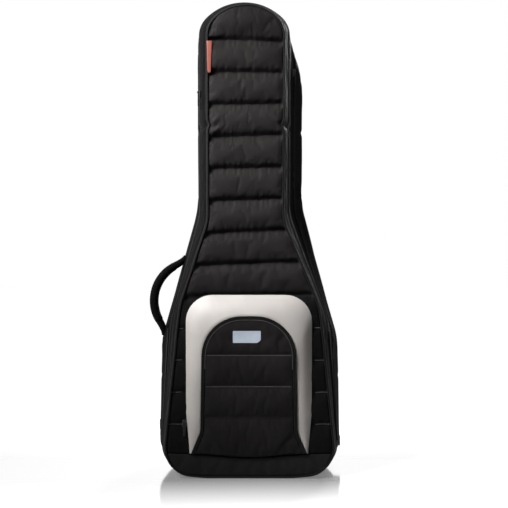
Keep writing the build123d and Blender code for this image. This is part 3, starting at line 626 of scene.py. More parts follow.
def pad(name, front, back, finish, body, slot, node):
    """Closed pad: a shaped sheet whose edge is turned down to its back, closed there in strips."""
    wide, tall = len(front[0]), len(front)
    bm = bmesh.new()
    made = grid(bm, front)
    sheet = [made[index:index + wide] for index in range(0, wide * tall, wide)]
    rim = sheet[0][:-1] + [row[-1] for row in sheet[:-1]]
    rim += sheet[-1][:0:-1] + [row[0] for row in sheet[:0:-1]]
    for share in (0.5, 1.0):
        turned = [bm.verts.new(vert.co.lerp(back(vert.co / MM) * MM, share)) for vert in rim]
        for index, vert in enumerate(rim):
            bm.faces.new([rim[index - 1], vert, turned[index], turned[index - 1]])
        rim = turned
    foot, right = rim[:wide], rim[wide - 1:wide + tall - 1]
    head = rim[wide + tall - 2:2 * wide + tall - 2]
    left = (rim[2 * wide + tall - 3:] + rim[:1])[::-1]
    bm.faces.new(foot + [right[1], left[1]])
    bm.faces.new(head + [left[-2], right[-2]])
    for low in range(1, tall - 2):
        bm.faces.new([left[low], right[low], right[low + 1], left[low + 1]])
    obj = keep(bm, name, finish, body, slot, node, sharp=70)
    smoother = obj.modifiers.new("smoother", "SUBSURF")
    smoother.levels = smoother.render_levels = 1
    return obj


# ---- the quilted front
FRONT_FACE, FRONT_ZIP, REAR_ZIP, BACK_FACE = -95.0, -58.0, 22.0, 95.0
LID_WALL, MIDDLE_WALL, REAR_WALL = (-89.0, -66.3), (-43.7, 13.7), (30.3, 89.0)
QUILT_TOP, QUILT_PITCH, QUILT_SEAMS = 988.0, 72.0, 13
SEAM_DROPS = (7, 2, -3, -7, -4, -6, -10, -9, -5, -2, 0, 0, 0)  # from left to right, top seam first
GROOVE, PUFF, LOW_GROOVE, LOW_PUFF = 9.0, 3.0, 3.6, 1.2
GROOVE_ABOVE, GROOVE_BELOW, DROOP_REACH = 4.2, 8.5, 36
FLATTER_BELOW, FLATTENS_OVER = 430.0, 60.0  # beside the pocket the panel is drawn flatter
COVERED_HALF, COVERED_FOOT, COVERED_TOP = 122, 70, 396  # and lies flat well under it
TOE_SEAM, TOE_SAG = 57.0, 9.0
COLUMNS, BAY_ROWS, ARCH_ROWS = 65, 18, 20
BESIDE_POCKET, LINED_FROM = 411.0, -83.5
panel_ring = loop(FRONT_FACE, 3.2, 1400)
CREASES = (
    # x, z, length, width, lean, height: folds that stand out of the front panel
    (-37.0, 1030.0, 26.0, 6.0, 4.0, 2.2),
    (22.0, 1032.0, 24.0, 6.0, -5.0, 2.0),
    (-84.0, 800.0, 18.0, 5.0, 52.0, 4.4),
    (-76.0, 784.0, 16.0, 5.0, 60.0, 3.4),
    (66.0, 804.0, 16.0, 5.0, -52.0, 3.6),
    (-60.0, 905.0, 22.0, 8.0, 80.0, 0.8),
    (30.0, 690.0, 30.0, 9.0, 8.0, 0.9),
    (-20.0, 520.0, 34.0, 9.0, -12.0, 1.2),
    (48.0, 470.0, 30.0, 9.0, 14.0, 1.2),
    (-70.0, 452.0, 26.0, 8.0, -18.0, 1.3),
    (-165.0, 240.0, 20.0, 7.0, 35.0, 1.2),
    (172.0, 200.0, 20.0, 7.0, -30.0, 1.2),
    (-172.0, 120.0, 20.0, 7.0, 40.0, 1.4),
)


def creased(point, creases):
    """How far the folds lift a point."""
    lift = 0.0
    for x, z, length, width, lean, height in creases:
        turn = math.radians(lean)
        dx, dz = point.x - x, point.z - z
        along = dx * math.sin(turn) + dz * math.cos(turn)
        across = dx * math.cos(turn) - dz * math.sin(turn)
        lift += height * hump(along, 0, length) * hump(across, 0, width)
    return lift


def toe_seam(x):
    """Height of the seam over the toe band, which sags in the middle."""
    return TOE_SEAM - TOE_SAG * math.cos(min(1.0, abs(x) / 170.0) * math.pi / 2) ** 2


def panel_rows():
    """Flat rows of the front panel up to its arch, and those that are sewn."""
    seams = [QUILT_TOP - QUILT_PITCH * k for k in range(QUILT_SEAMS)][::-1]
    levels = [mix(TOE_SEAM, seams[0], i / BAY_ROWS) for i in range(BAY_ROWS)]
    levels += [seams[0] + QUILT_PITCH / BAY_ROWS * i for i in range(BAY_ROWS * (QUILT_SEAMS - 1))]
    lean = section(FRONT_FACE)[3]
    left, right = (
        half_turned(panel_ring, lambda p: p.z > QUILT_TOP + 12 and (p.x - lean) * side > 0)
        for side in (-1, 1))
    shoulder = min(left.z, right.z)
    rows = []
    for z in levels:
        across = steps(*span(panel_ring, z), COLUMNS)
        rows.append([Vector((x, FRONT_FACE + 1.0, z)) for x in across])
    for step in range(ARCH_ROWS + 1):
        share = step / ARCH_ROWS
        z = mix(QUILT_TOP, shoulder, share)
        ends = (left.x, right.x) if step == ARCH_ROWS else span(panel_ring, z)
        row = []
        for x, under in zip(steps(*ends, COLUMNS), steps(left.x, right.x, COLUMNS)):
            rise = edge_height(panel_ring, under) - shoulder
            row.append(Vector((x, FRONT_FACE + 1.0, z + share * rise)))
        row[0].z = row[-1].z = z
        rows.append(row)
    return rows, [BAY_ROWS * (k + 1) for k in range(QUILT_SEAMS)]


def quilted(rows, sewn):
    """Sink the panel's seams, let them droop and wander, and puff the bays between them."""
    y = FRONT_FACE + 1.0
    for index, row in enumerate(rows):
        nearest = min(sewn, key=lambda seam: abs(seam - index))
        drop = SEAM_DROPS[QUILT_SEAMS - 1 - sewn.index(nearest)]
        gap = abs(index - nearest) * QUILT_PITCH / BAY_ROWS
        groove_width = GROOVE_ABOVE if index >= nearest else GROOVE_BELOW
        for column, point in enumerate(row):
            edge = min(column, COLUMNS - 1 - column)
            ease = min(1.0, edge / 4)
            across = column / (COLUMNS - 1) - 0.5
            point.z -= across * drop * max(0.0, 1 - gap / DROOP_REACH) * (1 if edge else 0.6)
            if index == 0:
                point.z = toe_seam(point.x) + 0.6
            elif index < BAY_ROWS:
                point.z += (toe_seam(point.x) - TOE_SEAM) * (1 - index / BAY_ROWS)
            wander = 1.6 * noise.noise(Vector((point.x * 0.05, nearest * 3.1, 0.0)))
            pucker = noise.noise(Vector((point.x * 0.16, nearest * 3.1, 7.0)))
            point.z += (wander + 0.6 * pucker) * hump(gap, 0, 9) * ease
            low = clamp((FLATTER_BELOW - point.z) / FLATTENS_OVER)
            sunk = mix(FRONT_FACE + GROOVE, FRONT_FACE + LOW_GROOVE, low)
            full = mix(PUFF, LOW_PUFF, low)
            groove = (sunk - y) * hump(gap, 0, groove_width) * (1 if edge else 0.15)
            point.y = y + groove - full * (1 - hump(gap, 0, 2 * groove_width)) * ease
            point.y -= (1.5 * pucker * hump(gap, 7, 6) + creased(point, CREASES)) * ease
            point.y += 0.25 * noise.noise(point * 0.06)


def under_pocket(point):
    """Whether a point lies well under the accessory pocket."""
    return abs(point.x + 1.5) < COVERED_HALF and COVERED_FOOT < point.z < COVERED_TOP


front_rows, seam_rows = panel_rows()
quilted(front_rows, seam_rows)
front_rows = settle(
    front_rows,
    lambda r, c: r in seam_rows or r in (0, len(front_rows) - 1) or c in (0, COLUMNS - 1)
    or under_pocket(front_rows[r][c]),
    growth=0.010, cap=9.0,
)
for row in front_rows:
    for point in row:
        if under_pocket(point):
            point.y = max(point.y, FRONT_FACE + 0.5)
quilted_front = pad("quilted_front", front_rows, lambda p: Vector((p.x, -82.0, p.z)), quilt_nylon,
                    "front_lid", "quilted_nylon", "front_panel")
# painted shade: the darker copy of the quilting on the panel below the top of the pocket
refinish(quilted_front, shaded_strip_nylon, lambda centre: centre.z < BESIDE_POCKET * MM)
refinish(quilted_front, lining_cloth, lambda centre: centre.y > LINED_FROM * MM)
# painted highlight: pale ledges under the four lowest seams beside the pocket
for number, row in enumerate(seam_rows[:4]):
    for side, beside in (("left", lambda x: x < -148), ("right", lambda x: x > 145)):
        ledge = [p + Vector((0, -0.5, -1.1)) for p in front_rows[row] if beside(p.x)]
        keep(swept(ledge, oval(1.8, 1.4, 8, 2.0), FORWARD), f"{side}_ledge_{number}", binding,
             "front_lid", "quilted_nylon", sharp=60)


# ---- the toe band, between the foot of the panel's outline and the sagging seam
TOE_ROWS, TOE_INSET = 14, 22
low, high = span(panel_ring, TOE_SEAM - 1)
toe_rows = []
for share in (step / TOE_ROWS for step in range(TOE_ROWS + 1)):
    row = []
    feet = steps(low + TOE_INSET, high - TOE_INSET, COLUMNS)
    for x, foot_x in zip(steps(low, high, COLUMNS), feet):
        foot = edge_height(panel_ring, foot_x, min)
        z = mix(foot, toe_seam(x) - 0.4, share)
        row.append(Vector((mix(foot_x, x, share ** 0.5), FRONT_FACE + 1.0, z)))
    for end in (0, -1):
        row[end].x = span(panel_ring, row[end].z)[end]
    toe_rows.append(row)
toe_rows = settle(toe_rows, lambda r, c: r in (0, TOE_ROWS) or c in (0, COLUMNS - 1),
                  growth=0.010, cap=5.0)
pad("toe_cover", toe_rows, lambda p: Vector((p.x, -83.3, p.z)), toe_nylon, "front_lid",
    "coated_toe", "toe_band")


# ---- rings round the bag: piping, padded side walls, zip tapes
PIPING = (
    # name, body, node, count, closed list of (depth, inset): the cord's bulge and its sewn flange
    ("front_cord", "front_lid", "front_piping", 620, (
        (-95.4, 3.3), (-96.7, 2.2), (-96.9, 0.7), (-96.0, -0.8), (-94.3, -1.5), (-92.4, -1.3),
        (-90.9, -0.2), (-89.2, 0.1), (-89.2, 3.0), (-90.5, 3.8), (-93.6, 3.8))),
    ("middle_cord", "middle_shell", "middle_piping", 620, (
        (-49.6, 0.3), (-48.9, -0.9), (-47.6, -1.5), (-46.0, -1.5), (-44.6, -0.8), (-43.9, 0.4),
        (-43.9, 3.0), (-46.5, 4.8), (-49.5, 3.2))),
    ("rear_cord", "rear_shell", "rear_piping", 560, (
        (89.2, 0.2), (90.7, -0.3), (92.0, -1.3), (93.8, -1.6), (95.6, -1.0), (96.4, 0.6),
        (96.3, 2.8), (95.2, 4.9), (93.6, 6.1), (90.5, 5.8), (89.2, 3.2))),
)
for seed, (name, body, node, count, profile) in enumerate(PIPING, 1):
    rows = [loop(depth, inset, count) for depth, inset in profile]
    for index, point in enumerate(list(rows[0])):
        shift = Vector((noise.noise(point * 0.02 + Vector((seed, 0, 0))),
                        noise.noise(point * 0.03 + Vector((0, seed, 9))), 0)) * 0.5
        for row in rows:
            row[index] = row[index] + shift
    keep(wrapped(rows), name, cord_nylon, body, "piping_cord", node, sharp=75)

RING = 560
WALL_OUTER, WALL_INNER = 0.4, 4.9  # how far inside the outline
KINKS = ((640, 4.0, 0.4), (215, 5.0, 0.5))  # height, reach and share of the lesser kinks


def gusset(name, front, back, count, kink, body, node):
    """Padded side wall round the bag, puffed between its seams and kinked where it has bent."""
    depths = steps(front, back, count)
    middle, reach = (front + back) / 2, (back - front) / 2
    outer = [loop(depth, WALL_OUTER, RING) for depth in depths]
    for row, depth in zip(outer, depths):
        share = 1 - ((depth - middle) / reach) ** 2
        for index, point in enumerate(row):
            out = outward(row[index - 1], row[(index + 1) % RING])
            if point.z > 30:
                row[index] = point + out * (share * (1.0 + 0.8 * noise.noise(point * 0.012)))
    outer = settle(outer, lambda r, c: r in (0, count - 1) or outer[r][c].z < 24,
                   growth=0.006, cap=2.5, round_about=True)
    for row, depth in zip(outer, depths):
        share = max(0.0, 1 - ((depth - middle) / reach) ** 2)
        fold = FOLD_HEIGHT + 5 * noise.noise(Vector((depth * 0.05, 0, 3)))
        for index, point in enumerate(row):
            pinch = hump(point.z, fold, 5.0) * kink
            for height, width, part in KINKS:
                pinch += hump(point.z, height, width) * kink * part
            row[index] = point + ACROSS * (-1 if point.x > 0 else 1) * pinch * share ** 0.5
    inner = [loop(depth, WALL_INNER, RING) for depth in (back, middle, front)]
    keep(wrapped(outer + inner), name, gusset_nylon, body, "gusset_nylon", node, sharp=70, fill=0.4)


gusset("lid_side", *LID_WALL, 7, 3.0, "front_lid", "lid_gusset")
gusset("middle_side", *MIDDLE_WALL, 13, 4.5, "middle_shell", "middle_gusset")
gusset("rear_side", *REAR_WALL, 13, 2.5, "rear_shell", "rear_gusset")


TAPE_THICK, COIL_PITCH = 1.6, 3.0


def zip_half(name, seam, parting, opened, body, node):
    """Woven tape with its row of coils at the parting line; where it is unzipped it curls in."""
    rows = []
    for share in (0.0, 0.25, 0.5, 0.75, 1.0):
        row = loop(mix(seam, parting, share), TAPE_THICK, RING)
        for index, point in enumerate(row):
            out = outward(row[index - 1], row[(index + 1) % RING])
            row[index] = point - out * opened(point) * share ** 1.5
        rows.append(row)
    under = [[point - outward(row[index - 1], row[(index + 1) % RING]) * TAPE_THICK
              for index, point in enumerate(row)] for row in rows[::-1]]
    bm = wrapped(rows + under)
    woven = len(bm.faces)
    toward = 0.9 if parting > seam else -0.9
    lip = [point - BACKWARD * toward for point in rows[-1]]
    lip.append(lip[0])
    teeth = round(sum((b - a).length for a, b in zip(lip, lip[1:])) / COIL_PITCH)
    line = spaced(lip, teeth * 3 + 1)
    thin, full = oval(1.6, 1.2, 6, 2.0), oval(2.4, 2.2, 6, 2.0)
    sweep(bm, line, lambda i: full if i % 3 else thin,
          lambda i: outward(line[max(i - 1, 0)], line[min(i + 1, len(line) - 1)]))
    keep(bm, name, zip_cloth, body, "zip_fabric", node, extra=((woven, zip_coil),))


def front_gape(point):
    """How far the unzipped part of the front zip has curled in."""
    return 7.0 * clamp((865 - point.z) / 60) * clamp((point.z - 280) / 60) if point.x < 0 else 0.0


def rear_gape(point):
    """The same for the rear zip."""
    return 6.0 * clamp((930 - point.z) / 40) * clamp((point.z - 460) / 60) if point.x > 0 else 0.0


zip_half("lid_tape", -66.3, -58.4, front_gape, "front_lid", "lid_zip_tape")
zip_half("middle_tape_front", -49.7, -57.6, front_gape, "middle_shell", "middle_front_tape")
zip_half("middle_tape_rear", 13.7, 21.6, rear_gape, "middle_shell", "middle_rear_tape")
zip_half("rear_tape", 30.3, 22.4, rear_gape, "rear_shell", "rear_zip_tape")


# ---- the accessory pocket
POCKET_SHIFT, POCKET_FOOT, POCKET_BASE = -1.5, 58.0, -97.3
FOOT_POINTS, ARCH_POINTS = 41, 301
MOUTH_HALF_WIDTH, MOUTH_TOP, MOUTH_ROUND = 104, 311, 90
SLOPE = Vector((0, -24.0, 311.0)).normalized()
OFF_SLOPE = Vector((0, -SLOPE.z, SLOPE.y))
SLOPE_ORIGIN = Vector((0, POCKET_BASE - 3.0, POCKET_FOOT))


def pocket_path(half, radii, inset):
    """Flat points of a pocket outline: along its foot, then over its arch and back."""
    right = [(POCKET_SHIFT + x, z) for x, z in half]
    left = [(POCKET_SHIFT - x, z) for x, z in reversed(half)]
    arcs = filleted(*drawn_in(right + left, radii + radii[::-1], inset))
    arch = [p for arc in arcs for p in arc]
    return spaced([arch[-1], arch[0]], FOOT_POINTS + 1)[:-1] + spaced(arch, ARCH_POINTS)


def base_ring(inset, y=POCKET_BASE):
    """Pocket outline on the bag."""
    path = pocket_path([(133, 58), (141, 150), (142, 414)], [0, 80, 60], inset)
    return [Vector((p.x, y, p.y)) for p in path]


def on_slope(x, height, lift=0.0):
    """Point on the pocket's sloping front plane."""
    return SLOPE_ORIGIN + Vector((x, 0, 0)) + SLOPE * height + OFF_SLOPE * lift


def up_slope(point, direction=SLOPE):
    """How far up the slope a point lies, or how far off it."""
    return (point - SLOPE_ORIGIN).dot(direction)


def mouth_ring(inset, lift=0.0):
    """Pocket outline round the quilted face."""
    half = [(130, 0), (109, 49), (MOUTH_HALF_WIDTH, MOUTH_TOP)]
    return [on_slope(p.x, p.y, lift) for p in pocket_path(half, [0, 40, MOUTH_ROUND], inset)]


trim_rows = []
for share in steps(0.0, 1.0, 10):
    bulge = math.sin(math.pi * share)
    row = []
    for low, high in zip(base_ring(0.0), mouth_ring(0.0)):
        point = low.lerp(high, share)
        crease = 0.7 * noise.noise(point * 0.02)
        crease += 0.5 * hump(point.z, 130, 9) * noise.noise(point * 0.08)
        point.y -= bulge * min(5.0, (high - low).length * 0.10) + crease * bulge
        row.append(point)
    trim_rows.append(row)
keep(wrapped(trim_rows + [mouth_ring(4.0, -3.0), base_ring(4.0)]), "pocket_shell", trim_vinyl,
     "pocket", "pale_trim", "pocket_trim", sharp=60, fill=0.4)

CORD_PROFILE = ((0.2, 0.3), (0.2, 2.0), (1.2, 3.4), (2.6, 3.6), (3.7, 2.4), (4.2, 2.2), (5.2, 3.4),
                (6.8, 3.2), (7.9, 1.6), (7.9, 0.3))
cord_rows = [mouth_ring(inset, lift) for inset, lift in CORD_PROFILE]
for row in cord_rows:
    for point in row:  # along the foot, where no cord shows, it sinks into the slope
        low = max(0.0, 1 - (point.z - POCKET_FOOT) / 9.0) * clamp((124.0 - abs(point.x)) / 6.0)
        point -= OFF_SLOPE * up_slope(point, OFF_SLOPE) * 0.8 * low
keep(wrapped(cord_rows), "pocket_cord", cord_nylon, "pocket", "piping_cord", "pocket_piping",
     sharp=75)

FACE_COLUMNS, FACE_INSET, FACE_FOOT = 61, 8.2, 1.0
FACE_SEAMS = (141.0, 211.5, 282.0)
FACE_LIFT, FACE_SEAM_LIFT, FACE_PUFF = 2.0, 0.6, 1.2
FACE_CREASES = (
    # as for the front panel
    (-46.0, 326.0, 18.0, 4.0, 6.0, 1.1),
    (-62.0, 312.0, 18.0, 4.5, 10.0, 1.0),
    (38.0, 334.0, 18.0, 4.0, -8.0, 1.2),
    (56.0, 318.0, 20.0, 5.0, -14.0, 1.2),
    (72.0, 300.0, 18.0, 4.5, -16.0, 1.0),
    (4.0, 352.0, 9.0, 4.0, 0.0, 0.9),
    (-86.0, 96.0, 24.0, 6.0, -38.0, 1.6),
    (-70.0, 84.0, 20.0, 6.0, -48.0, 1.3),
    (82.0, 98.0, 26.0, 6.0, 36.0, 1.6),
    (64.0, 82.0, 20.0, 6.0, 46.0, 1.3),
    (20.0, 90.0, 22.0, 8.0, 20.0, 0.8),
)
face_path = [Vector((p.x, 0, up_slope(p))) for p in mouth_ring(FACE_INSET)]
for point in face_path:
    if point.z < 8.5:
        point.z = FACE_FOOT
        point.x *= 1.027


def face_sheet():
    """Pocket face on the slope before it settles, and its sewn rows."""
    turned = (MOUTH_ROUND - FACE_INSET) * (1 - math.cos(math.pi / 4))
    left, right = (Vector((POCKET_SHIFT + side * (MOUTH_HALF_WIDTH - FACE_INSET - turned), 0,
                           MOUTH_TOP - FACE_INSET - turned)) for side in (-1, 1))
    foot = min(p.z for p in face_path)
    marks = [foot + 0.01] + [z - POCKET_FOOT for z in FACE_SEAMS] + [left.z]
    levels, sewn = [], []
    for low, high in zip(marks, marks[1:]):
        rows_here = max(6, round((high - low) / 4.0))
        levels += [mix(low, high, k / rows_here) for k in range(rows_here)]
        sewn.append(len(levels))
    sewn.pop()
    start = levels[sewn[-1]]
    last = len(levels)
    rows = []
    for index, z in enumerate(levels + [left.z]):
        share = max(0.0, (z - start) / (left.z - start))
        gap = min(abs(levels[min(index, last - 1)] - levels[seam]) for seam in sewn)
        row = []
        for column, x in enumerate(steps(*span(face_path, z), FACE_COLUMNS)):
            edge = min(column, FACE_COLUMNS - 1 - column)
            under = mix(left.x, right.x, column / (FACE_COLUMNS - 1))
            rise = edge_height(face_path, under) - left.z
            sag = 9.0 * math.cos(min(1.0, abs(x) / 125.0) * math.pi / 2) ** 2
            up = z + share ** 2 * rise * (1 if edge else 0) - sag * max(0.0, 1 - (z - foot) / 60)
            ease = min(1.0, min(edge, index, last - index) / 3)
            lift = FACE_LIFT + (FACE_SEAM_LIFT - FACE_LIFT) * hump(gap, 0, 3.5)
            lift += FACE_PUFF * (1 - hump(gap, 0, 7.0)) * ease
            flat = on_slope(x, up)
            lift += creased(flat, FACE_CREASES) * ease + 0.25 * noise.noise(flat * 0.06)
            row.append(on_slope(x, up, lift))
        rows.append(row)
    return rows, sewn


def under_plate(point):
    """Whether a point of the pocket's face lies under the label plate."""
    return abs(point.x + 5) < 31 and abs(point.z - 323) < 13


face_rows, face_seams = face_sheet()
face_rows = settle(
    face_rows,
    lambda r, c: r in face_seams or r in (0, len(face_rows) - 1) or c in (0, FACE_COLUMNS - 1)
    or under_plate(face_rows[r][c]),
    growth=0.008, cap=4.0,
)
pad("pocket_quilt", face_rows, lambda p: p - OFF_SLOPE * (up_slope(p, OFF_SLOPE) + 3.5),
    quilt_nylon, "pocket", "quilted_nylon", "pocket_face")
# painted highlight: pale ledges along the upper two seams of the pocket face; the lowest one is in
# the quilting's colour
for number, row in enumerate(face_seams):
    ledge = [p + OFF_SLOPE * 0.7 - SLOPE * 1.1 for p in face_rows[row][1:-1]]
    keep(swept(ledge, oval(2.0, 1.5, 8, 2.0), OFF_SLOPE), f"pocket_ledge_{number}",
         binding if number else quilt_nylon, "pocket", "quilted_nylon", sharp=60)
# painted highlight: a pale fold along the inner edge of the pocket's arch
arch_edge = [p for p in mouth_ring(8.6, 2.6) if up_slope(p) > 190]
keep(swept(arch_edge, oval(1.8, 1.6, 8, 2.0), OFF_SLOPE), "pocket_edge_fold", binding, "pocket",
     "quilted_nylon", sharp=60)

# blank plate, whose lower right corner is bent back
PLATE_MIDDLE, PLATE_RIGHT, PLATE_LOW, PLATE_FOLD = (-6.0, 265.0), 25.0, 251.5, 9.0
above, beside = (PLATE_RIGHT, PLATE_LOW + PLATE_FOLD), (PLATE_RIGHT - PLATE_FOLD, PLATE_LOW)
plate = [p for p in rounded_box(62.0, 27.0, 1.6, PLATE_MIDDLE)
         if p[0] - p[1] < PLATE_RIGHT - PLATE_LOW - PLATE_FOLD - 0.01] + [above, beside]
plate.sort(key=lambda p: math.atan2(p[1] - PLATE_MIDDLE[1], p[0] - PLATE_MIDDLE[0]))
bm = flat_plate(plate, 3.0, 1.3, (SLOPE_ORIGIN, ACROSS, SLOPE), 0.4, segments=2)
bent = [(*above, 4.0), (*beside, 4.0), (PLATE_RIGHT - 0.6, PLATE_LOW + 0.6, 1.2)]
bent += [(x, z, lift - 0.9) for x, z, lift in bent]
wedge = [bm.verts.new(on_slope(x, z, lift) * MM) for x, z, lift in bent]
bm.faces.new(wedge[:3])
bm.faces.new(wedge[:2:-1])
for first, second in ((0, 1), (1, 2), (2, 0)):
    bm.faces.new([wedge[first], wedge[first + 3], wedge[second + 3], wedge[second]])
keep(bm, "blank_plate", plate_metal, "pocket", "plate_metal", "label_plate")

TAPE_PROFILE = ((-1.8, -95.2), (-2.2, -96.0), (-1.4, -97.0), (7.6, -97.0), (7.6, -95.2))
keep(wrapped([base_ring(inset, y) for inset, y in TAPE_PROFILE]), "pocket_tape", zip_cloth,
     "front_lid", "zip_fabric", "pocket_zip_tape", sharp=60)


# ---- the leather tab, straight above and round at its foot
tab = [(6.0, 36.0), (-6.0, 36.0), (-4.1, -30.2)]
tab += [(-0.2 + 3.9 * math.cos(a), -30.2 + 5.8 * math.sin(a)) for a in steps(-math.pi, 0, 9)[1:]]
bm = flat_plate([(x - 90.5, z + 949.0) for x, z in tab], 0.0, 2.2,
                (Vector((0, -96.8, 0)), ACROSS, UP), 0.8)
keep(bm, "red_tab", tab_leather, "front_lid", "red_leather", "leather_tab")


# ---- divider and back panel
def outline_patch(path, y, columns, levels):
    """Rows of points that fill a closed outline: level in the middle, bent to its ends."""
    lean, top = sum(p.x for p in path) / len(path), max(p.z for p in path)
    low_left, low_right = (
        half_turned(path, lambda p: (p.x > lean) == right and p.z <= 90) for right in (False, True))
    top_left, top_right = (
        half_turned(path, lambda p: (p.x > lean) == right and p.z >= top * 0.75)
        for right in (False, True))
    foot, head = max(low_left.z, low_right.z), min(top_left.z, top_right.z)
    rows = []
    for step in range(levels + 1):
        share = step / levels
        z = mix(foot, head, share)
        low, high = span(path, min(max(z, foot), head))
        fade, fade_up = max(0.0, 1 - share / 0.08) ** 1.5, max(0.0, 1 - (1 - share) / 0.12) ** 1.2
        row = []
        for column in range(columns):
            u = column / (columns - 1)
            drop = rise = 0
            if 0 < column < columns - 1:
                drop = foot - edge_height(path, mix(low_left.x, low_right.x, u), min)
                rise = edge_height(path, mix(top_left.x, top_right.x, u)) - head
            row.append(Vector((mix(low, high, u), y, z - fade * drop + fade_up * rise)))
        rows.append(row)
    return rows


DIVIDER_COLUMNS, DIVIDER_LEVELS, DIVIDER_HALF = 33, 110, 4.6
divider_rows = outline_patch(loop(0.0, 5.5, 900), 0.0, DIVIDER_COLUMNS, DIVIDER_LEVELS)
for r, row in enumerate(divider_rows):
    for c, point in enumerate(row):
        edge = min(c, DIVIDER_COLUMNS - 1 - c, r, DIVIDER_LEVELS - r)
        point.y = -DIVIDER_HALF * min(1.0, edge / 2) ** 0.5
pad("divider_pad", divider_rows, lambda p: Vector((p.x, DIVIDER_HALF, p.z)), lining_cloth,
    "middle_shell", "chamber_lining", "divider")

BACK_COLUMNS, BACK_LEVELS = 53, 180
back_rows = outline_patch(loop(BACK_FACE, 6.3, 900), 94.0, BACK_COLUMNS, BACK_LEVELS)
back_seams = {BACK_LEVELS * k // 9 for k in range(1, 9)}
spine = {BACK_COLUMNS // 2 - 7, BACK_COLUMNS // 2 + 7}
for r, row in enumerate(back_rows):
    for c, point in enumerate(row):
        gap = min(min(abs(r - s) for s in back_seams) * 5.6, min(abs(c - s) for s in spine) * 7.0)
        ease = min(1.0, min(r, c, BACK_LEVELS - r, BACK_COLUMNS - 1 - c) / 3)
        point.y += 1.5 * (1 - hump(gap, 0, 9)) * ease - 3.0 * hump(gap, 0, 5)
back_rows = settle(
    back_rows,
    lambda r, c: r in back_seams or c in spine
    or r in (0, BACK_LEVELS) or c in (0, BACK_COLUMNS - 1),
    growth=0.02, cap=6.0, pressure=-4.0, bending=0.3,
)
for row in back_rows:
    for point in row:
        point.y = min(point.y, 95.2 if point.z < 840 else 97.0)  # flat where the straps lie on it
back_pad = pad("back_pad", back_rows, lambda p: Vector((p.x, 83.3, p.z)), back_nylon, "rear_shell",
               "back_nylon", "back_panel")
refinish(back_pad, lining_cloth, lambda centre: centre.y < 83.5 * MM)


# ---- rubber soles
def sole(name, front, back, body, node):
    """Ribbed rubber strip under one shell."""
    ring = loop(0.0, 0.0, RING)
    keepers = [i for i in range(-RING // 4, RING // 4) if abs(ring[i].x) < 165 and ring[i].z < 25]
    ribs = max(3, round((back - front) / 3.0))
    low, inner = 2.2, -0.3
    levels = [(front, low)]
    for step in range(1, ribs * 4):
        height = 3.0 - 0.5 * (0.5 - 0.5 * math.cos(2 * math.pi * step / 4))
        levels.append((mix(front, back, step / (ribs * 4)), height))
    levels += [(back, low), (back, inner), (front, inner)]
    rings = [loop(depth, -height, RING) for depth, height in levels]
    bm = bmesh.new()
    grid(bm, [[ring[i] for i in keepers] for ring in rings], round_across=True)
    close_ends(bm)
    keep(bm, name, sole_rubber, body, "sole_rubber", node, sharp=35)


sole("lid_foot", *LID_WALL, "front_lid", "lid_sole")
sole("middle_foot", *MIDDLE_WALL, "middle_shell", "middle_sole")
sole("rear_foot", *REAR_WALL, "rear_shell", "rear_sole")


# ---- fabric hinges on the flanks
def flank_point(depth, side, out, z):
    """Point at a height of one flank, standing out from it."""
    (hx, hz), (cx, cz) = corner_points(depth, side)[1:3]
    along = Vector((cx - hx, cz - hz)).normalized() * side
    return Vector((mix(hx, cx, (z - hz) / (cz - hz)) + along.y * out, depth, z - along.x * out))


def hinge(name, line_depth, front, back, side, body, node):
    """Bound strip over one zip seam with the fabric roll that the next shell turns about."""
    heights = steps(80.0, 330.0, 60)
    profile = ((front, -1.6), (front, 0.4), (mix(front, back, 0.35), 0.7),
               (mix(front, back, 0.7), 0.7), (back, 0.4), (back, -1.6))
    bm = bmesh.new()
    grid(bm, [[flank_point(depth, side, out, z) for z in heights] for depth, out in profile],
         round_across=True)
    close_ends(bm)
    roll = [flank_point(line_depth, side, 1.5, z) for z in heights]
    sweep(bm, roll, oval(2.3, 2.3, 10, 2.0), BACKWARD)
    keep(bm, name, cord_nylon, body, "piping_cord", node, sharp=60)


hinge("lid_hinge_strip", FRONT_ZIP, -57.7, -49.7, 1, "middle_shell", "lid_hinge_binding")
hinge("middle_hinge_strip", REAR_ZIP, 22.3, 30.3, -1, "rear_shell", "middle_hinge_binding")


# ---- handles
GRIP_POINTS = 49


def bow(name, start, along, out, length, rise, width, thick, body):
    """Padded grip that bows between its pivots and a little past them, sewn along its outside."""
    radius = (length ** 2 / 4 + rise ** 2) / (2 * rise)
    reach = math.asin(length / 2 / radius) + 8.0 / radius
    centre = start + along * (length / 2) - out * (radius - rise)
    path = [centre + (along * math.sin(angle) + out * math.cos(angle)) * radius
            for angle in steps(-reach, reach, GRIP_POINTS)]
    off_middle = [abs(2 * k / (GRIP_POINTS - 1) - 1) for k in range(GRIP_POINTS)]

    def shape(index):
        swell = 1 - 0.12 * off_middle[index] ** 4
        swell *= math.sqrt(1 - 0.97 * max(0.0, (off_middle[index] - 0.93) / 0.07) ** 2)
        swell *= 1 + 0.03 * noise.noise(path[index] * 0.09)
        return oval(width * swell, thick * swell, 20, 2.4)

    bm = bmesh.new()
    sweep(bm, path, shape, lambda i: (path[i] - centre).normalized())
    for pivot in (start, start + along * length):
        sweep(bm, [pivot + along * x for x in steps(-8.0, 8.0, 5)], oval(13.5, 13.5, 14, 2.0), out)
    padded = len(bm.faces)
    for shift in (-0.30, 0.30):
        seam = [p + (p - centre).normalized() * (thick * 0.46) * (1 - 0.14 * off ** 4)
                + along.cross(out) * width * shift for p, off in zip(path, off_middle)]
        stitches(bm, seam[4:-4], lambda point: (point - centre).normalized())
    keep(bm, name, gusset_nylon, body, "gusset_nylon", body, sharp=60, extra=((padded, thread),),
         fill=0.8)


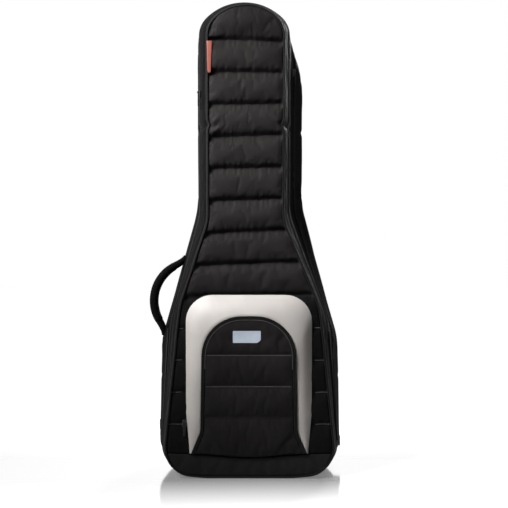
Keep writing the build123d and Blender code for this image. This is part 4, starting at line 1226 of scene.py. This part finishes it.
def posts(name, pivots, out, along, reach, thick, node):
    """Padded ramps of fabric that carry on a grip's bow down to the shell and hold its pivots."""
    def shape(index):
        share = index / 14
        return oval(25.0 * (1 - 0.12 * share ** 2), thick * (1 - 0.45 * share ** 2), 20, 2.6)

    bm = bmesh.new()
    for pivot, sign in zip(pivots, (-1, 1)):
        sweep(bm, [pivot + along * sign * (34.0 * share)
                   - out * ((reach + 5.0) * math.sin(share * math.pi / 2) - 1.0)
                   for share in steps(0.0, 1.0, 15)], shape, out)
    keep(bm, name, gusset_nylon, "rear_shell", "gusset_nylon", node, sharp=60, fill=0.7)


HANDLE_DEPTH, SIDE_REACH = 58.0, 18.0
(chest_x, chest_z), (waist_x, waist_z) = corner_points(HANDLE_DEPTH, -1)[2:4]
low, high = (Vector((mix(chest_x, waist_x, (z - chest_z) / (waist_z - chest_z)), HANDLE_DEPTH, z))
             for z in (345.0, 470.0))
side_along = (high - low).normalized()
side_out = side_along.cross(BACKWARD)
side_ends = [low + side_out * SIDE_REACH, high + side_out * SIDE_REACH]
bow("side_grip", side_ends[0], side_along, side_out, length=(high - low).length, rise=26.0,
    width=30.0, thick=21.0, body="side_handle")
top_ends = [Vector((x, 107.0, 1000.0)) for x in (-55.0, 55.0)]
bow("top_grip", top_ends[0], ACROSS, -UP, length=110.0, rise=27.0, width=14.0, thick=18.0,
    body="top_handle")
posts("side_grip_loops", side_ends, side_out, side_along, SIDE_REACH, 17.5, "side_handle_posts")
posts("top_grip_loops", top_ends, BACKWARD, ACROSS, 12.0, 12.0, "top_handle_posts")


# ---- shoulder straps
STRAP_FOOT, STRAP_HEAD, STRAP_BOW, STRAP_X, STRAP_PROUD = 285.0, 788.0, 40.0, 75.0, 139.8
STRAP_MIDDLE, STRAP_SPAN = (STRAP_FOOT + STRAP_HEAD) / 2, STRAP_HEAD - STRAP_FOOT
STRAP_RADIUS = (STRAP_SPAN ** 2 / 4 + STRAP_BOW ** 2) / (2 * STRAP_BOW)


def shoulder_strap(name, x, node):
    """Padded strap with crowned faces, bound edges and a webbing sewn down its outside."""
    path = []
    for z in steps(STRAP_FOOT, STRAP_HEAD, 121):
        bowed = math.sqrt(STRAP_RADIUS ** 2 - (z - STRAP_MIDDLE) ** 2)
        path.append(Vector((x, STRAP_PROUD - STRAP_RADIUS + bowed, z)))

    def shape(index):
        pucker = 1 + 0.012 * noise.noise(path[index] * 0.08)
        flat = 1 + 0.03 * noise.noise(path[index] * 0.05 + Vector((5, 0, 0)))
        return oval(62.0 * pucker, 9.4 * flat, 28, 3.6)

    bm = bmesh.new()
    sweep(bm, path, shape, BACKWARD)
    padded = len(bm.faces)
    sweep(bm, [p + BACKWARD * 4.3 for p in path[4:-4]], oval(25.0, 2.0, 12, 6.0), BACKWARD)
    webbed = len(bm.faces)
    for edge, out, end in ((-10.5, 5.5, 5), (10.5, 5.5, 5), (-27.0, 3.2, 3), (27.0, 3.2, 3)):
        seam = [p + BACKWARD * out + Vector((edge, 0, 0)) for p in path[end:-end]]
        stitches(bm, seam, BACKWARD)
    keep(bm, name, gusset_nylon, "rear_shell", "strap_padding", node, sharp=60,
         extra=((padded, webbing_cloth), (webbed, thread)), fill=0.7)


shoulder_strap("strap_pad_left", -STRAP_X, "shoulder_strap_left")
shoulder_strap("strap_pad_right", STRAP_X, "shoulder_strap_right")

back_plane = (Vector((0, 95.3, 0)), -ACROSS, UP)
YOKE_WIDTH, YOKE_HEIGHT, YOKE_ROUND, YOKE_MIDDLE = 212.0, 46.0, 15.0, (0.0, 812.7)
bm = flat_plate(rounded_box(YOKE_WIDTH, YOKE_HEIGHT, YOKE_ROUND, YOKE_MIDDLE), 0.0, 4.2, back_plane,
                1.8, segments=4)
padded = len(bm.faces)
for inset in (5.0, 8.0):
    seam = [Vector((-x, 99.5, z)) for x, z in rounded_box(
        YOKE_WIDTH - 2 * inset, YOKE_HEIGHT - 2 * inset, YOKE_ROUND - inset + 0.1, YOKE_MIDDLE)]
    stitches(bm, seam + seam[:1], BACKWARD)
BOX_STITCH = ((-12, -6), (12, -6), (12, 14), (-12, 14), (-12, -6), (12, 14), (12, -6), (-12, 14))
for x in (-STRAP_X, STRAP_X):
    stitches(bm, [Vector((x + a, 99.5, 800 + b)) for a, b in BOX_STITCH], BACKWARD)
keep(bm, "yoke_pad", back_nylon, "rear_shell", "back_nylon", "strap_yoke", sharp=60,
     extra=((padded, thread),), fill=0.4)

LOCK_Z, LOCK_BAR, WING_X = 268.3, 2.5, 180.5


def rounded_turn(turn):
    """Cosine and sine of a turn, pushed out towards a square."""
    return [math.copysign(abs(part) ** 0.6, part) for part in (math.cos(turn), math.sin(turn))]


for label, side, wing_z in (("left", -1, 90.0), ("right", 1, 50.0)):
    strap_x = side * STRAP_X
    rim = rounded_box(31.0, 25.0, 3.0)
    rows = []
    for k in range(8):
        wide, proud = rounded_turn(2 * math.pi * (k + 0.5) / 8)
        row = []
        for x, z in rim:
            point = Vector((strap_x + x, 99.6, LOCK_Z + z))
            away = Vector((point.x - strap_x, 0, point.z - LOCK_Z)).normalized()
            row.append(point + away * LOCK_BAR * wide + BACKWARD * LOCK_BAR * proud)
        rows.append(row)
    bm = wrapped(rows)
    bar = [Vector((strap_x + x, 99.8, LOCK_Z)) for x in steps(-15, 15, 5)]
    sweep(bm, bar, oval(5.0, 4.6, 10, 3.0), BACKWARD)
    keep(bm, f"lock_{label}", lock_plastic, "rear_shell", "buckle_plastic",
         f"ladder_lock_{label}", sharp=50)

    start, end = Vector((strap_x, 0, LOCK_Z)), Vector((side * WING_X, 0, wing_z))
    overlap = (end - start).normalized() * 6.2
    start, end = start - overlap, end + overlap
    path = []
    for k in range(41):
        wave = 0.25 * noise.noise(Vector((k * 0.3, side, 0)))
        path.append(start.lerp(end, k / 40) + BACKWARD * (96.05 + wave))
    keep(swept(path, oval(25.0, 1.5, 12, 7.0), BACKWARD), f"webbing_{label}", webbing_cloth,
         "rear_shell", "strap_webbing", f"strap_webbing_{label}", sharp=50)

    wing = [(-side * x, wing_z + z) for x, z in ((168, -19), (220.5, -12), (220.5, 12), (168, 19))]
    bm = flat_plate(wing, 1.8, 2.5, back_plane, 1.0, angle=1.0)
    woven = len(bm.faces)
    border = ((171, -15.5), (217.0, -9.5), (217.0, 9.5), (171, 15.5), (171, -15.5))
    stitches(bm, [Vector((side * x, 99.7, wing_z + z)) for x, z in border], BACKWARD)
    keep(bm, f"wing_{label}", webbing_cloth, "rear_shell", "strap_webbing",
         f"anchor_wing_{label}", sharp=50, extra=((woven, thread),))


# ---- zip sliders
def tape_point(depth, side, z):
    """Point on a zip tape beside the neck."""
    (wx, wz), (nx, nz) = corner_points(depth, side)[3:5]
    return Vector((mix(wx, nx, (z - wz) / (nz - wz)) - side * 1.5, depth, z))


def neck_plane(depth, side, z):
    """Origin, across and along directions of a slider beside the neck."""
    along = (tape_point(depth, side, z + 1) - tape_point(depth, side, z)).normalized()
    across = along.cross(ACROSS * side).normalized()
    return Vector((tape_point(depth + 5.0, side, z).x + side * 0.3, depth, z)), across, along


def slider_and_pull(label, plane):
    """Cast slider, a waisted plate with a bridge, and a ribbed rubber pull on it."""
    origin, across, along = plane
    out = across.cross(along)
    waisted = [(x * (1.0 - 0.22 * hump(y, -2.0, 4.5)), y) for x, y in rounded_box(10.0, 16.0, 2.5)]
    bm = flat_plate(waisted, 0.0, 3.0, plane, 0.7, angle=0.9)
    bridge = [origin + along * (5.0 + 2.7 * math.cos(a)) + out * (2.8 + 3.9 * math.sin(a))
              for a in steps(0, math.pi, 13)]
    sweep(bm, bridge, oval(2.8, 1.3, 10, 3.0), across)
    keep(bm, f"{label}_slider_body", slider_metal, f"{label}_slider", "slider_metal",
         f"{label}_slider")

    bm = flat_plate(rounded_box(6.4, 34.0, 1.9, (0.0, -10.6)), 3.9, 2.3, plane, 0.8, angle=0.9)
    for mark in steps(-24.0, -12.0, 7):
        ridge = [origin + across * x + along * mark + out * 6.15 for x in steps(-2.3, 2.3, 5)]
        sweep(bm, ridge, oval(1.0, 0.7, 8, 2.0), out)
    keep(bm, f"{label}_pull_tab", pull_rubber, f"{label}_pull", "pull_rubber", f"{label}_pull")


slider_and_pull("front", neck_plane(FRONT_ZIP, -1, 871.0))
slider_and_pull("rear", neck_plane(REAR_ZIP, 1, 935.0))
slider_and_pull("pocket", (Vector((-146.4, -95.3, 125.0)), ACROSS, UP))


# ---- neck cradles, straps and cushions in the chambers
DRAWN_IN, VOXEL, UNEVEN, NOISE_SCALE = 0.985, 4.0, 0.6, 60


def foam_block(name, node, body):
    """Foam block in plush: its frame solid remeshed, drawn in a little, smoothed and uneven."""
    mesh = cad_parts[node].data.copy()
    bm = bmesh.new()
    bm.from_mesh(mesh)
    bmesh.ops.remove_doubles(bm, verts=bm.verts, dist=1e-5)
    middle = sum((v.co for v in bm.verts), Vector()) / len(bm.verts)
    for vert in bm.verts:
        vert.co = middle + (vert.co - middle) * DRAWN_IN
    bm.to_mesh(mesh)
    bm.free()
    obj = bpy.data.objects.new(name, mesh)
    scene.collection.objects.link(obj)
    remesh = obj.modifiers.new("remesh", "REMESH")
    remesh.mode, remesh.voxel_size = "VOXEL", VOXEL * MM
    soften = obj.modifiers.new("soften", "SMOOTH")
    soften.factor, soften.iterations = 0.6, 6
    depsgraph = bpy.context.evaluated_depsgraph_get()
    done = bpy.data.meshes.new_from_object(obj.evaluated_get(depsgraph))
    obj.modifiers.clear()
    obj.data = done
    for vert in done.vertices:
        vert.co += Vector((1, 1, 1)) * UNEVEN * MM * noise.noise(vert.co * NOISE_SCALE)
    done.materials.clear()
    done.materials.append(lining_cloth)
    done.shade_smooth()
    rounder = obj.modifiers.new("rounder", "SUBSURF")
    rounder.levels = rounder.render_levels = 1
    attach(obj, body)
    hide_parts(node)


for chamber, body in (("front", "middle_shell"), ("rear", "rear_shell")):
    foam_block(f"{chamber}_cradle_pad", f"{chamber}_neck_cradle", body)
    foam_block(f"{chamber}_cushion_pad", f"{chamber}_end_cushion", body)
    low, high = (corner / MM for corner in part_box(f"{chamber}_neck_strap"))
    width, height, middle = high.x - low.x, high.z - low.z, ((low + high) / 2).xz
    bm = flat_plate(rounded_box(width, height, 5.0, middle), 0.0, high.y - low.y,
                    (BACKWARD * high.y, ACROSS, UP), 0.5, segments=2)
    woven = len(bm.faces)
    seam = [Vector((x, low.y - 0.1, z)) for x, z in rounded_box(width - 6, height - 6, 3.0, middle)]
    stitches(bm, seam + seam[:1], FORWARD)
    keep(bm, f"{chamber}_neck_tie", loop_cloth, f"{chamber}_neck_strap", "hook_and_loop",
         f"{chamber}_neck_strap", extra=((woven, thread),))
